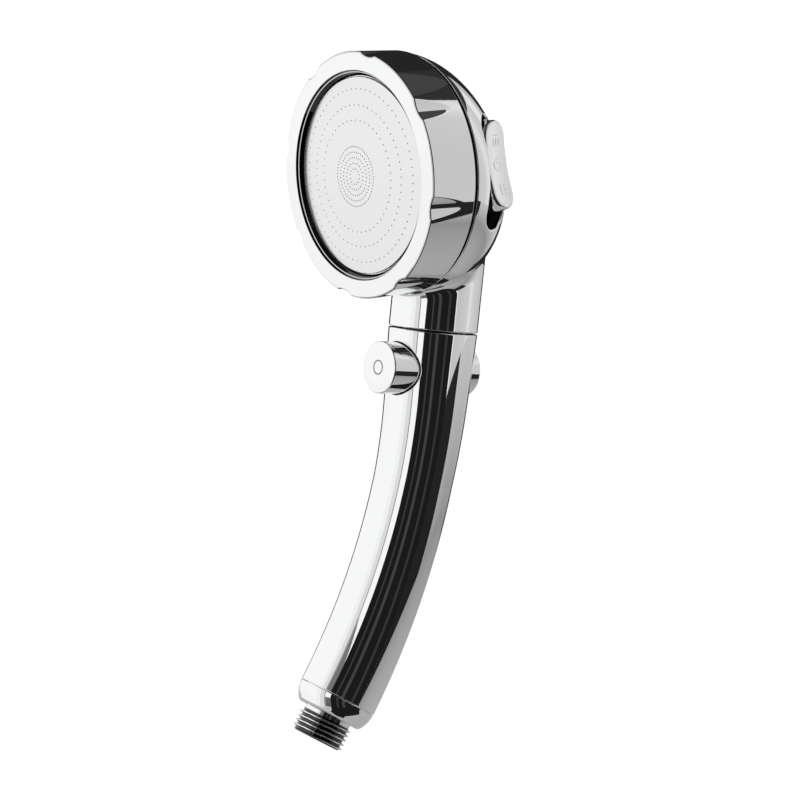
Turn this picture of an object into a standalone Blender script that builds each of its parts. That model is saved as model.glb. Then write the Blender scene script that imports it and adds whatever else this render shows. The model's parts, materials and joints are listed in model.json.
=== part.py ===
"""Handheld shower head: curved handle with a stop valve, swivelling head, mode rocker, unscrewable face.

Sizes are in millimetres and the helpers turn them into metres. World axes: the spray leaves along -Y,
+Z is up and x = 0 is the handle's plane of symmetry. The origin is the centre of the handle's lower
end, where a wall holder grips it.
"""

import math

import bmesh
import bpy
from mathutils import Matrix, Vector

MM = 0.001

# Handle: a straight top and a round bend, measured along its centre line from the swivel seam down.
NECK_TILT = 10.0
GRIP_TILT = 37.5
STRAIGHT = 25.5
BEND_RADIUS = 256.0
NECK_RADIUS = 17.35
GRIP_RADIUS = 15.5
TAPER_LENGTH = 60.0
TAPER_POWER = 1.2
HANDLE_WALL = 2.4
HANDLE_RINGS = 15
HANDLE_SIDES = 26
SEAM_GAP = 0.4

# Head: the centre of the front rim, seen from the centre of the swivel seam.
FACE_FORWARD = 34.5
FACE_UP = 61.1
BEZEL_RADIUS = 45.0
BEZEL_DEPTH = 19.6
RIM_RADIUS = 38.25
PLATE_RADIUS = 35.9
PLATE_CROWN = 2.5
SCALLOPS = 8
SCALLOP_ANGLE = 32.0
SCALLOP_RADIUS = 9.0
SCALLOP_REACH = 52.8
SCALLOP_LEAN = -5.0
DOME_RADIUS = 44.4
DOME_FRONT = 20.8
DOME_DEPTH = 33.8
DOME_DROP = 10.0
DOME_POWER = 2.1
DROP_POWER = 1.3
SHELL_WALL = 2.4
NECK_TOP = 34.0

# Mode rocker: its pocket lies in the dome's right flank, and it turns on a level pin.
ROCKER_HEADING = 101.0
POCKET_POINT = (39.7, 34.0, 0.1)
POCKET_SIZE = (41.0, 14.0)
PIN_DEPTH = 7.2
PIN_RISE = 1.5
PIN_RADIUS = 1.2
ROCKER_FACE = (32.0, 12.2)
ROCKER_BASE = (34.6, 12.6)
ROCKER_TOP = 9.7
ROCKER_BOTTOM = -3.0
ROCKER_SWING = 9.5
ROCKER_DISH = 1.8
LEVER_ARM = 12.0
SHUTTLE_DEPTH = 16.0

# Stop button: a spool through the handle, pushed from either end.
BUTTON_DROP = 15.6
BUTTON_RADIUS = 9.94
BUTTON_HOLE = 10.25
BUTTON_FRONT = 25.2
BUTTON_REAR = -18.6
CAP_WALL = 1.2
CAP_LENGTH = 12.7
SPOOL_RADIUS = 5.0
SPOOL_BORE = 5.4
SPOOL_SEALS = (-9.0, 3.4, 9.8)

# Inlet: G1/2 male thread.
THREAD_RADIUS = 10.4
THREAD_END = -17.9

CLEARANCE = 0.3

CHROME = ((0.80, 0.80, 0.81), 1.0, 0.06)
STEEL = ((0.72, 0.72, 0.73), 1.0, 0.28)
BLACK = ((0.02, 0.02, 0.022), 0.0, 0.45)
WHITE = ((0.82, 0.82, 0.80), 0.0, 0.40)
RUBBER = ((0.03, 0.03, 0.03), 0.0, 0.75)
BRASS = ((0.78, 0.58, 0.28), 1.0, 0.25)


def clear_scene():
    for obj in list(bpy.data.objects):
        bpy.data.objects.remove(obj, do_unlink=True)


def make_collection(name):
    collection = bpy.data.collections.new(name)
    bpy.context.scene.collection.children.link(collection)
    return collection


clear_scene()
PARTS = make_collection("handheld_shower_head")
CUTTERS = make_collection("cutters")


# Frames -----------------------------------------------------------------------------------------


def placed(x, y, z, turn=0.0):
    """A frame at a point in millimetres, turned about the X axis by an angle in degrees."""
    return Matrix.Translation(Vector((x, y, z)) * MM) @ Matrix.Rotation(math.radians(turn), 4, "X")


def handle_length():
    return STRAIGHT + BEND_RADIUS * math.radians(GRIP_TILT - NECK_TILT)


def handle_point(s):
    """The centre line's (y, z) at distance s below the swivel seam; the bend ends at the origin."""
    low = math.radians(GRIP_TILT)
    lean = math.radians(NECK_TILT)
    if s > STRAIGHT:
        lean = math.radians(NECK_TILT) + (s - STRAIGHT) / BEND_RADIUS
    y = BEND_RADIUS * (math.cos(lean) - math.cos(low))
    z = BEND_RADIUS * (math.sin(low) - math.sin(lean))
    rise = max(STRAIGHT - s, 0.0)
    return y + rise * math.sin(lean), z + rise * math.cos(lean)


def handle_radius(s):
    taper = max(1.0 - s / TAPER_LENGTH, 0.0) ** TAPER_POWER
    return GRIP_RADIUS + (NECK_RADIUS - GRIP_RADIUS) * taper


SEAM_Y, SEAM_Z = handle_point(0.0)
FACE_Y = SEAM_Y - FACE_FORWARD
FACE_Z = SEAM_Z + FACE_UP
# Each frame's Z axis is the turning axis of what it holds.
NECK = placed(0.0, SEAM_Y, SEAM_Z, -NECK_TILT)
FACE = placed(0.0, FACE_Y, FACE_Z, 90.0)
INLET = placed(0.0, 0.0, 0.0, -GRIP_TILT)
BUTTON = NECK @ placed(0.0, 0.0, -BUTTON_DROP, 90.0)


def rocker_frame():
    """X along the pin, Y up, Z out of the pocket; the origin is on the pin."""
    heading = math.radians(ROCKER_HEADING)
    out = Vector((math.sin(heading), -math.cos(heading), 0.0))
    up = Vector((0.0, 0.0, 1.0))
    along = up.cross(out)
    x, y, z = POCKET_POINT
    centre = Vector((x, FACE_Y + y, FACE_Z + z + PIN_RISE)) - out * PIN_DEPTH
    turn = Matrix((along, up, out)).transposed().to_4x4()
    return Matrix.Translation(centre * MM) @ turn


ROCKER = rocker_frame()
SHUTTLE_REST = -LEVER_ARM * math.sin(math.radians(ROCKER_SWING))


# Shapes -----------------------------------------------------------------------------------------


def finish_material(name, finish):
    colour, metallic, roughness = finish
    material = bpy.data.materials.new(name + "_finish")
    material.use_nodes = True
    shader = material.node_tree.nodes["Principled BSDF"]
    shader.inputs["Base Color"].default_value = (*colour, 1.0)
    shader.inputs["Metallic"].default_value = metallic
    shader.inputs["Roughness"].default_value = roughness
    material.diffuse_color = (*colour, 1.0)
    return material


def add_object(name, mesh, frame, finish):
    """Adds a part, or a cutter where the finish is None."""
    obj = bpy.data.objects.new(name, mesh)
    obj.matrix_world = frame
    if finish is None:
        CUTTERS.objects.link(obj)
        obj.hide_render = True
        obj.display_type = "WIRE"
        return obj
    PARTS.objects.link(obj)
    obj.data.materials.append(finish_material(name, finish))
    return obj


def mesh_of(name, bm):
    mesh = bpy.data.meshes.new(name)
    bm.to_mesh(mesh)
    bm.free()
    mesh.shade_smooth()
    mesh.set_sharp_from_angle(angle=math.radians(35.0))
    return mesh


def cylinder(name, radius, low, high, frame, finish=None, segments=24):
    """A round bar along the frame's Z from low to high."""
    bm = bmesh.new()
    middle = Matrix.Translation((0.0, 0.0, (low + high) / 2 * MM))
    bmesh.ops.create_cone(bm, cap_ends=True, segments=segments, radius1=radius * MM,
                          radius2=radius * MM, depth=(high - low) * MM, matrix=middle)
    return add_object(name, mesh_of(name, bm), frame, finish)


def drill(obj, name, places, radius, low, high, segments=10):
    """Cuts a round hole at each of these frames, with one cutter for them all."""
    bm = bmesh.new()
    for place in places:
        middle = place @ Matrix.Translation((0.0, 0.0, (low + high) / 2 * MM))
        bmesh.ops.create_cone(bm, cap_ends=True, segments=segments, radius1=radius * MM,
                              radius2=radius * MM, depth=(high - low) * MM, matrix=middle)
    cut(obj, add_object(name, mesh_of(name, bm), Matrix.Identity(4), None))


def block(name, size, centre, frame, finish=None):
    bm = bmesh.new()
    scale = Matrix.Diagonal((size[0] * MM, size[1] * MM, size[2] * MM, 1.0))
    bmesh.ops.create_cube(bm, size=1.0, matrix=Matrix.Translation(Vector(centre) * MM) @ scale)
    return add_object(name, mesh_of(name, bm), frame, finish)


def pill(name, low_size, high_size, low, high, frame, finish=None, centre_y=0.0, rounding=6):
    """A bar with round ends along the frame's Y, which may taper from its low side to its high one."""
    bm = bmesh.new()
    bmesh.ops.create_cube(bm, size=1.0)
    upright = [e for e in bm.edges if abs(e.verts[0].co.z - e.verts[1].co.z) > 0.5]
    for vert in bm.verts:
        vert.co.x *= low_size[1]
        vert.co.y *= low_size[0]
    bmesh.ops.bevel(bm, geom=upright, offset=low_size[1] / 2 - 0.05, segments=rounding,
                    profile=0.5, affect="EDGES")
    for vert in bm.verts:
        share = vert.co.z + 0.5
        wide = 1.0 + (high_size[1] / low_size[1] - 1.0) * share
        long = 1.0 + (high_size[0] / low_size[0] - 1.0) * share
        vert.co = Vector((vert.co.x * wide, centre_y + vert.co.y * long, low + (high - low) * share)) * MM
    return add_object(name, mesh_of(name, bm), frame, finish)


def turned(name, profile, frame, finish=None, segments=24, ring=True):
    """A profile of (radius, height) turned about the frame's Z, its outer side listed top to bottom."""
    points = [(r * MM, 0.0, z * MM) for r, z in profile]
    edges = [(i, i + 1) for i in range(len(points) - 1)]
    if ring:
        edges.append((len(points) - 1, 0))
    mesh = bpy.data.meshes.new(name)
    mesh.from_pydata(points, edges, [])
    obj = add_object(name, mesh, frame, finish)
    screw = obj.modifiers.new("Screw", "SCREW")
    screw.steps = segments
    screw.render_steps = segments
    screw.use_merge_vertices = True
    screw.merge_threshold = 0.00002
    screw.use_smooth_shade = True
    return obj


def seal(name, major, minor, height, frame, segments=14, sides=5):
    """A rubber O-ring."""
    bpy.ops.mesh.primitive_torus_add(major_radius=major * MM, minor_radius=minor * MM,
                                     major_segments=segments, minor_segments=sides)
    mesh = bpy.context.object.data
    bpy.data.objects.remove(bpy.context.object)
    mesh.name = name
    mesh.shade_smooth()
    return add_object(name, mesh, frame @ Matrix.Translation((0.0, 0.0, height * MM)), RUBBER)


def tube_mesh(name, points, radii, sides, capped):
    """The mesh of a round bar through points in millimetres."""
    curve = bpy.data.curves.new(name, "CURVE")
    curve.dimensions = "3D"
    curve.twist_mode = "Z_UP"
    curve.bevel_depth = MM
    curve.bevel_resolution = (sides - 4) // 2
    curve.use_fill_caps = capped
    spline = curve.splines.new("POLY")
    spline.points.add(len(points) - 1)
    for point, place, radius in zip(spline.points, points, radii):
        point.co = (*(Vector(place) * MM), 1.0)
        point.radius = radius
    guide = bpy.data.objects.new(name + "_guide", curve)
    CUTTERS.objects.link(guide)
    bpy.context.view_layer.update()
    evaluated = guide.evaluated_get(bpy.context.evaluated_depsgraph_get())
    mesh = bpy.data.meshes.new_from_object(evaluated)
    bpy.data.objects.remove(guide)
    bm = bmesh.new()
    bm.from_mesh(mesh)
    bmesh.ops.remove_doubles(bm, verts=bm.verts, dist=0.00001)
    bm.to_mesh(mesh)
    bm.free()
    mesh.name = name
    mesh.shade_smooth()
    return mesh


def tube_shell(name, points, radii, wall, sides, finish):
    """A hollow tube: its outer surface with a wall added inwards."""
    obj = add_object(name, tube_mesh(name, points, radii, sides, False), Matrix.Identity(4), finish)
    solidify = obj.modifiers.new("Solidify", "SOLIDIFY")
    solidify.thickness = wall * MM
    solidify.offset = -1.0
    return obj


def combine(obj, other, operation):
    boolean = obj.modifiers.new(operation.lower() + "_" + other.name, "BOOLEAN")
    boolean.operation = operation
    boolean.solver = "EXACT"
    boolean.object = other


def cut(obj, *others):
    for other in others:
        combine(obj, other, "DIFFERENCE")


def join(obj, *others):
    for other in others:
        combine(obj, other, "UNION")


def turn_on(name, frame, pieces, parent=None):
    """Parents pieces to an empty on their joint's axis, leaving them where they are."""
    axis = bpy.data.objects.new(name, None)
    axis.empty_display_size = 0.01
    axis.matrix_world = frame
    PARTS.objects.link(axis)
    for piece in pieces:
        piece.parent = axis
        piece.matrix_parent_inverse = frame.inverted()
    if parent is not None:
        axis.parent = parent
        axis.matrix_parent_inverse = parent.matrix_basis.inverted()
    return axis


# Handle -----------------------------------------------------------------------------------------


def handle_run(start, end, count):
    """Points along the handle's centre line and their distances from the seam."""
    distances = [start + (end - start) * i / (count - 1) for i in range(count)]
    return [(0.0, *handle_point(s)) for s in distances], distances


def make_handle_shell():
    points, distances = handle_run(SEAM_GAP, handle_length() - SEAM_GAP, HANDLE_RINGS)
    radii = [handle_radius(s) for s in distances]
    shell = tube_shell("handle_shell", points, radii, HANDLE_WALL, HANDLE_SIDES, CHROME)
    cut(shell, cylinder("button_hole", BUTTON_HOLE, -30.0, 30.0, BUTTON, segments=28))
    return shell


def make_water_tube():
    points, distances = handle_run(27.8, handle_length() - 2.6, 11)
    return tube_shell("water_tube", points, [6.5] * len(distances), 1.5, 12, WHITE)


def make_end_collar():
    profile = [(15.5, -SEAM_GAP), (15.05, -3.0), (14.2, -5.4), (13.0, -7.0), (11.6, -7.5), (9.8, -7.5),
               (9.8, 2.9), (12.6, 2.9), (12.6, -SEAM_GAP)]
    # The outer side runs down and the bore runs back up to the sleeve that enters the handle.
    return turned("end_collar", profile, INLET, CHROME, segments=26)


def make_inlet_nipple():
    profile = [(12.6, 6.0), (12.6, 3.3), (9.4, 3.3), (9.4, -8.9), (THREAD_RADIUS, -9.9),
               (THREAD_RADIUS, -17.2), (9.9, THREAD_END), (7.7, THREAD_END), (7.7, -6.0), (4.6, -5.0),
               (4.6, 1.5), (6.9, 2.3), (6.9, 5.2), (8.3, 5.6), (8.3, 7.6), (6.9, 8.0), (6.9, 11.0),
               (9.6, 11.0), (9.6, 6.0)]
    return turned("inlet_nipple", profile, INLET, CHROME, segments=24)


def make_inlet_screen():
    profile = [(0.0, -15.6), (7.3, -15.6), (7.3, -17.2), (5.9, -17.2), (5.9, -16.6), (0.0, -16.6)]
    return turned("inlet_screen", profile, INLET, STEEL, ring=False, segments=16)


def make_flow_regulator():
    profile = [(7.3, -8.6), (7.3, -9.4), (6.3, -9.8), (6.3, -11.2), (7.3, -11.6), (7.3, -12.4),
               (1.6, -12.4), (1.6, -8.6)]
    return turned("flow_regulator", profile, INLET, WHITE, segments=16)


def make_valve_body():
    """The stop valve's housing, with the swivel's socket on top and the tube's socket below."""
    profile = [(12.0, 12.0), (12.0, -3.2), (13.4, -4.0), (13.4, -31.0), (6.9, -31.0), (6.9, -30.0),
               (8.3, -29.6), (8.3, -27.9), (6.9, -27.5), (6.9, -27.0), (2.4, -26.4), (2.4, -5.4),
               (9.4, -4.6), (9.4, -3.2), (10.7, -3.0), (10.7, -0.8), (9.4, -0.6), (9.4, 12.0)]
    body = turned("valve_body", profile, NECK, BLACK, segments=20)
    join(body, cylinder("valve_cross", 8.4, -16.6, 16.6, BUTTON, segments=20))
    cut(body, cylinder("valve_cross_bore", SPOOL_BORE, -20.0, 20.0, BUTTON, segments=16))
    for side in (1, -1):
        groove = [(10.6, 20.0), (10.6, 5.4), (8.4, 5.4), (8.4, 20.0)]
        if side < 0:
            groove = [(r, -z) for r, z in reversed(groove)]
        cut(body, turned(f"cap_groove_{side}", groove, BUTTON, segments=20))
    return body


def make_swivel_clip():
    profile = [(10.3, -1.4), (10.3, -2.4), (8.2, -2.4), (8.2, -1.4)]
    clip = turned("swivel_clip", profile, NECK, STEEL, segments=18)
    cut(clip, block("clip_gap", (9.0, 12.0, 4.0), (0.0, -9.0, -2.0), NECK))
    return clip


def make_handle():
    make_handle_shell()
    make_end_collar()
    make_inlet_nipple()
    make_inlet_screen()
    make_flow_regulator()
    seal("regulator_seal", 6.85, 0.42, -10.5, INLET)
    make_water_tube()
    seal("tube_seal_lower", 7.45, 0.6, 6.6, INLET)
    seal("tube_seal_upper", 7.45, 0.6, -28.75, NECK)
    make_valve_body()
    make_swivel_clip()


# Stop button ------------------------------------------------------------------------------------


def cap_profile(face, direction):
    """A shallow cup with a slightly crowned face; direction is +1 where the face looks along +Z."""
    r = BUTTON_RADIUS
    inner = r - CAP_WALL
    outline = [(0.0, 0.0), (r - 2.4, -0.12), (r - 0.5, -0.4), (r, -0.9), (r, -CAP_LENGTH),
               (inner, -CAP_LENGTH), (inner, -1.7), (0.0, -1.7)]
    profile = [(radius, face + direction * z) for radius, z in outline]
    return profile if direction > 0 else profile[::-1]


def make_spool():
    """A rod with grooves for three seals and a waist that lets the water past."""
    low = BUTTON_REAR + 2.1
    high = BUTTON_FRONT - 2.1
    groove = 3.9
    waist = 2.6
    profile = [(0.0, high), (SPOOL_RADIUS, high)]
    for place in reversed(SPOOL_SEALS[1:]):
        profile += [(SPOOL_RADIUS, place + 0.85), (groove, place + 0.85), (groove, place - 0.85),
                    (SPOOL_RADIUS, place - 0.85)]
    profile += [(SPOOL_RADIUS, 2.0), (waist, 1.2), (waist, -6.2), (SPOOL_RADIUS, -7.0)]
    place = SPOOL_SEALS[0]
    profile += [(SPOOL_RADIUS, place + 0.85), (groove, place + 0.85), (groove, place - 0.85),
                (SPOOL_RADIUS, place - 0.85), (SPOOL_RADIUS, low), (0.0, low)]
    return turned("stop_spool", profile, BUTTON, BRASS, segments=14, ring=False)


def make_stop_button():
    pieces = [make_spool()]
    for name, face, direction in (("off_button", BUTTON_FRONT, 1), ("on_button", BUTTON_REAR, -1)):
        pieces.append(turned(name, cap_profile(face, direction), BUTTON, CHROME, segments=24, ring=False))
    for number, place in enumerate(SPOOL_SEALS, start=1):
        pieces.append(seal(f"spool_seal_{number}", 4.55, 0.5, place, BUTTON))
    turn_on("stop_button_axis", BUTTON, pieces)


# Head -------------------------------------------------------------------------------------------


def dome(name, radius, front, depth, drop):
    """Half a ball drawn out to the back, each ring lower than the one before it."""
    bm = bmesh.new()
    bmesh.ops.create_uvsphere(bm, u_segments=32, v_segments=18, radius=1.0)
    geometry = bm.verts[:] + bm.edges[:] + bm.faces[:]
    bmesh.ops.bisect_plane(bm, geom=geometry, plane_co=(0, 0, 0), plane_no=(0, 0, 1), clear_outer=True)
    bmesh.ops.holes_fill(bm, edges=[e for e in bm.edges if e.is_boundary])
    for vert in bm.verts:
        s = min(max(-vert.co.z, 0.0), 1.0)
        around = Vector((vert.co.x, vert.co.y))
        reach = radius * (1.0 - s ** DOME_POWER) ** (1.0 / DOME_POWER)
        if around.length > 1e-4:
            around = around.normalized() * reach
        vert.co = Vector((around.x, around.y - drop * s ** DROP_POWER, -front - depth * s)) * MM
    bmesh.ops.recalc_face_normals(bm, faces=bm.faces)
    return mesh_of(name, bm)


def capsule(name, radius, low, high, segments):
    """A round bar whose upper end is half a ball."""
    arc = [math.radians(90.0 - 15.0 * i) for i in range(7)]
    profile = [(radius * math.cos(a), high + radius * math.sin(a)) for a in arc]
    profile[0] = (0.0, high + radius)
    profile += [(radius, low), (0.0, low)]
    return turned(name, profile, NECK, segments=segments, ring=False)


def make_rear_housing():
    outer = dome("rear_housing", DOME_RADIUS, DOME_FRONT, DOME_DEPTH, DOME_DROP)
    housing = add_object("rear_housing", outer, FACE, CHROME)
    spigot = [(41.3, -10.4), (41.3, -12.6), (40.1, -12.8), (40.1, -14.2), (41.3, -14.4), (41.3, -22.0),
              (37.4, -22.0), (37.4, -10.4)]
    join(housing, turned("housing_spigot", spigot, FACE, segments=40))
    join(housing, capsule("neck_outside", NECK_RADIUS, SEAM_GAP, NECK_TOP, 28))
    inner = dome("dome_inside", DOME_RADIUS - 2.8, DOME_FRONT + 2.2, DOME_DEPTH - 4.6, DOME_DROP - 0.8)
    cut(housing, add_object("dome_inside", inner, FACE, None))
    cut(housing, capsule("neck_inside", NECK_RADIUS - SHELL_WALL, -2.0, NECK_TOP, 24))
    cut(housing, cylinder("front_opening", 38.7, -26.0, -8.0, FACE, segments=40))
    cut(housing, pill("pocket", POCKET_SIZE, POCKET_SIZE, -9.0, 16.0, ROCKER, centre_y=-PIN_RISE))
    cut(housing, pill("cradle_seat", (43.4, 18.8), (43.4, 18.8), -12.0, -4.8, ROCKER, centre_y=-1.2))
    cut(housing, block("ear_slots", (18.8, 7.8, 12.0), (0.0, 0.0, -3.8), ROCKER))
    return housing


def make_swivel_spigot():
    profile = [(9.0, 26.0), (9.0, 18.0), (14.5, 17.4), (14.5, 14.0), (9.0, 13.4)]
    for place in (8.0, 3.4):
        profile += [(9.0, place + 1.0), (7.6, place + 1.0), (7.6, place - 1.0), (9.0, place - 1.0)]
    profile += [(9.0, -1.0), (7.9, -1.0), (7.9, -2.8), (9.0, -2.8), (9.0, -4.2), (6.4, -4.2), (6.4, 26.0)]
    return turned("swivel_spigot", profile, NECK, WHITE, segments=18)


def make_inlet_elbow():
    """The pipe from the swivel up to the lower end of the diverter."""
    start = NECK @ Vector((0.0, 0.0, 28.0 * MM))
    end = ROCKER @ Vector((0.0, -25.0 * MM, -SHUTTLE_DEPTH * MM))
    rise = Vector((0.0, 0.0, 6.0 * MM))
    up = NECK.to_3x3() @ rise
    points = [NECK @ Vector((0.0, 0.0, 26.4 * MM))]
    for i in range(6):
        t = i / 5
        points.append(start * (1 - t) ** 3 + (start + up) * 3 * t * (1 - t) ** 2
                      + (end - rise) * 3 * t ** 2 * (1 - t) + end * t ** 3)
    points.append(end + Vector((0.0, 0.0, 1.7 * MM)))
    points = [tuple(place / MM) for place in points]
    return tube_shell("inlet_elbow", points, [4.8] * len(points), 1.2, 12, WHITE)


def make_diverter_body():
    depth = -SHUTTLE_DEPTH
    body = block("diverter_body", (14.0, 41.5, 12.2), (0.0, -1.25, depth - 0.4), ROCKER, WHITE)
    along = ROCKER @ placed(0.0, 0.0, depth, -90.0)
    cut(body, cylinder("diverter_bore", 4.8, -24.0, 16.5, along, segments=14))
    cut(body, block("lever_window", (9.2, 17.0, 8.0), (0.0, 0.0, depth + 4.6), ROCKER))
    ports = [ROCKER @ placed(0.0, place, depth) for place in (-10.0, 0.0, 10.0)]
    drill(body, "diverter_ports", ports, 1.8, -8.0, 0.0)
    return body


def make_rocker_cradle():
    """The black cup behind the pocket, with an ear at each end of the pin."""
    cradle = pill("rocker_cradle", (42.6, 18.0), (42.6, 18.0), -9.8, -5.2, ROCKER, BLACK, -1.2)
    for side in (-1, 1):
        join(cradle, block(f"pin_ear_{side}", (1.7, 7.0, 8.2), (side * 8.1, 0.0, -2.3), ROCKER))
    cut(cradle, pill("cradle_well", (39.6, 14.4), (39.6, 14.4), -8.0, 2.0, ROCKER, None, -1.2))
    cut(cradle, block("lever_slot", (4.2, 9.6, 6.0), (0.0, 0.0, -9.0), ROCKER))
    cut(cradle, cylinder("ear_holes", PIN_RADIUS + CLEARANCE, -12.0, 12.0, pin_frame(), segments=12))
    return cradle


def pin_frame():
    """The rocker's frame with Z turned along the pin."""
    return ROCKER @ Matrix.Rotation(math.radians(90.0), 4, "Y")


def make_detent_leaf():
    """A bent steel strip on the cradle's floor that the lever clicks past."""
    path = [(-15.5, -7.5), (-8.4, -7.5), (-5.6, -6.5), (-4.4, -5.5), (-5.6, -4.7)]
    half = 0.2
    sides = ([], [])
    for i, (y, z) in enumerate(path):
        before = Vector(path[max(i - 1, 0)])
        after = Vector(path[min(i + 1, len(path) - 1)])
        along = (after - before).normalized()
        for side, row in zip((half, -half), sides):
            row.append((y - along.y * side, z + along.x * side))
    outline = sides[0] + sides[1][::-1]
    curve = bpy.data.curves.new("detent_leaf", "CURVE")
    curve.dimensions = "2D"
    curve.fill_mode = "BOTH"
    curve.extrude = 2.0 * MM
    spline = curve.splines.new("POLY")
    spline.points.add(len(outline) - 1)
    for point, (y, z) in zip(spline.points, outline):
        point.co = (y * MM, z * MM, 0.0, 1.0)
    spline.use_cyclic_u = True
    # The outline's own plane is XY, and here it stands in the rocker's YZ plane.
    stand = Matrix(((0.0, 0.0, 1.0), (1.0, 0.0, 0.0), (0.0, 1.0, 0.0))).to_4x4()
    return add_object("detent_leaf", curve, ROCKER @ stand, STEEL)


def make_flow_manifold():
    """The plate behind the distributor, with three ring channels open to the front."""
    profile = [(36.6, -9.6), (36.6, -12.2), (0.0, -12.2), (0.0, -10.8), (8.0, -10.8), (8.0, -9.6),
               (11.0, -9.6), (11.0, -10.8), (19.0, -10.8), (19.0, -9.6), (22.0, -9.6), (22.0, -10.8),
               (29.4, -10.8), (29.4, -9.6)]
    manifold = turned("flow_manifold", profile, FACE, WHITE, segments=26)
    feeds = [face_place(radius, 23.0) for radius in (5.0, 15.0, 25.6)]
    drill(manifold, "feed_holes", feeds, 1.8, -14.0, -9.0)
    drill(manifold, "manifold_screw_holes", screw_places(), 1.6, -14.0, -8.0, segments=8)
    return manifold


def face_place(radius, degrees):
    """A frame on the face at this radius and angle."""
    angle = math.radians(degrees)
    return FACE @ placed(radius * math.cos(angle), radius * math.sin(angle), 0.0)


def screw_places():
    """A frame for each of the four distributor screws."""
    return [face_place(33.0, 45.0 + 90.0 * i) for i in range(4)]


def make_spray_distributor():
    plate = cylinder("spray_distributor", 39.2, -9.2, -7.0, FACE, WHITE, segments=32)
    holes = []
    for radius, count in ((4.5, 3), (15.0, 6), (25.6, 8)):
        holes += [face_place(radius, 360.0 * (i + 0.4) / count) for i in range(count)]
    drill(plate, "spray_holes", holes, 1.6, -12.0, -5.0, segments=6)
    drill(plate, "plate_screw_holes", screw_places(), 1.6, -12.0, -5.0, segments=8)
    return plate


def make_distributor_screws():
    screws = []
    profile = [(0.0, -5.3), (2.0, -5.4), (2.6, -6.0), (2.6, -6.7), (1.25, -6.7), (1.25, -12.6),
               (0.0, -12.6)]
    for number, place in enumerate(screw_places(), start=1):
        screw = turned(f"distributor_screw_{number}", profile, place, STEEL, segments=8, ring=False)
        cut(screw, block(f"screw_slot_{number}", (4.0, 0.6, 1.2), (0.0, 0.0, -5.5), place))
        screws.append(screw)
    return screws


def make_head():
    pieces = [make_rear_housing(), make_swivel_spigot(), make_inlet_elbow(), make_diverter_body(),
              make_rocker_cradle(), make_detent_leaf(), make_flow_manifold(), make_spray_distributor()]
    pieces.append(cylinder("rocker_pin", PIN_RADIUS, -8.8, 8.8, pin_frame(), STEEL, segments=14))
    pieces += make_distributor_screws()
    pieces.append(seal("swivel_seal_upper", 8.3, 0.6, 8.0, NECK))
    pieces.append(seal("swivel_seal_lower", 8.3, 0.6, 3.4, NECK))
    pieces.append(seal("bezel_seal", 40.8, 0.5, -13.5, FACE, segments=36))
    return turn_on("neck_swivel_axis", NECK, pieces)


# Rocker, diverter and front ---------------------------------------------------------------------


def make_rocker(head):
    """At rest the rocker's upper end is pressed in. Its face is dished for a thumb."""
    rest = ROCKER @ Matrix.Rotation(math.radians(-ROCKER_SWING), 4, "X")
    rocker = pill("mode_rocker", ROCKER_BASE, ROCKER_FACE, ROCKER_BOTTOM, ROCKER_TOP, rest, CHROME,
                  rounding=8)
    join(rocker, block("rocker_lever", (3.0, 3.0, 11.1), (0.0, 0.0, -7.05), rest))
    across = rest @ Matrix.Rotation(math.radians(90.0), 4, "Y")
    cut(rocker, cylinder("rocker_pin_hole", PIN_RADIUS + CLEARANCE, -12.0, 12.0, across, segments=14))
    reach = ROCKER_FACE[0] / 2.0
    dish_radius = (reach ** 2 + ROCKER_DISH ** 2) / (2.0 * ROCKER_DISH)
    dish = rest @ placed(0.0, 0.0, ROCKER_TOP - ROCKER_DISH + dish_radius)
    dish = dish @ Matrix.Rotation(math.radians(90.0), 4, "Y")
    cut(rocker, cylinder("rocker_dish", dish_radius, -12.0, 12.0, dish, segments=90))
    turn_on("mode_rocker_axis", ROCKER, [rocker], head)


def make_shuttle(head):
    """The diverter's spool, which the rocker's lever moves up and down."""
    depth = -SHUTTLE_DEPTH
    along = ROCKER @ placed(0.0, SHUTTLE_REST, depth, -90.0)
    land = 4.35
    profile = [(0.0, 10.0), (land, 10.0), (land, 8.3), (3.3, 8.3), (3.3, 6.7), (land, 6.7), (land, 5.4),
               (2.4, 5.0), (2.4, -5.0), (land, -5.4), (land, -6.7), (3.3, -6.7), (3.3, -8.3),
               (land, -8.3), (land, -10.0), (0.0, -10.0)]
    shuttle = turned("diverter_shuttle", profile, along, BRASS, segments=12, ring=False)
    lift = ROCKER @ placed(0.0, SHUTTLE_REST, depth)
    join(shuttle, block("shuttle_fork", (6.4, 7.4, 6.6), (0.0, 0.0, 2.5), lift))
    cut(shuttle, block("fork_notch", (9.0, 4.4, 5.0), (0.0, 0.0, 4.9), lift))
    pieces = [shuttle]
    for name, place in (("shuttle_seal_upper", 7.5), ("shuttle_seal_lower", -7.5)):
        pieces.append(seal(name, 3.85, 0.45, place, along))
    turn_on("diverter_axis", ROCKER, pieces, head)


def plate_height(radius):
    return 0.3 - PLATE_CROWN * (radius / PLATE_RADIUS) ** 2


def make_spray_face(head):
    radii = (0.0, 12.0, 24.0, 30.0, PLATE_RADIUS)
    wall = 1.2
    profile = [(r, plate_height(r)) for r in radii]
    profile += [(PLATE_RADIUS, -3.6), (39.2, -3.6), (39.2, -4.8), (34.4, -4.8)]
    profile += [(r, plate_height(r) - wall) for r in (33.4, 30.0, 24.0, 12.0, 0.0)]
    plate = turned("spray_faceplate", profile, FACE, STEEL, segments=32, ring=False)
    ring = [(39.2, -5.1), (39.2, -6.7), (36.4, -6.7), (36.4, -5.1)]
    gasket = turned("faceplate_gasket", ring, FACE, RUBBER, segments=28)
    return turn_on("spray_face_axis", FACE, [plate, gasket], head)


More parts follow.
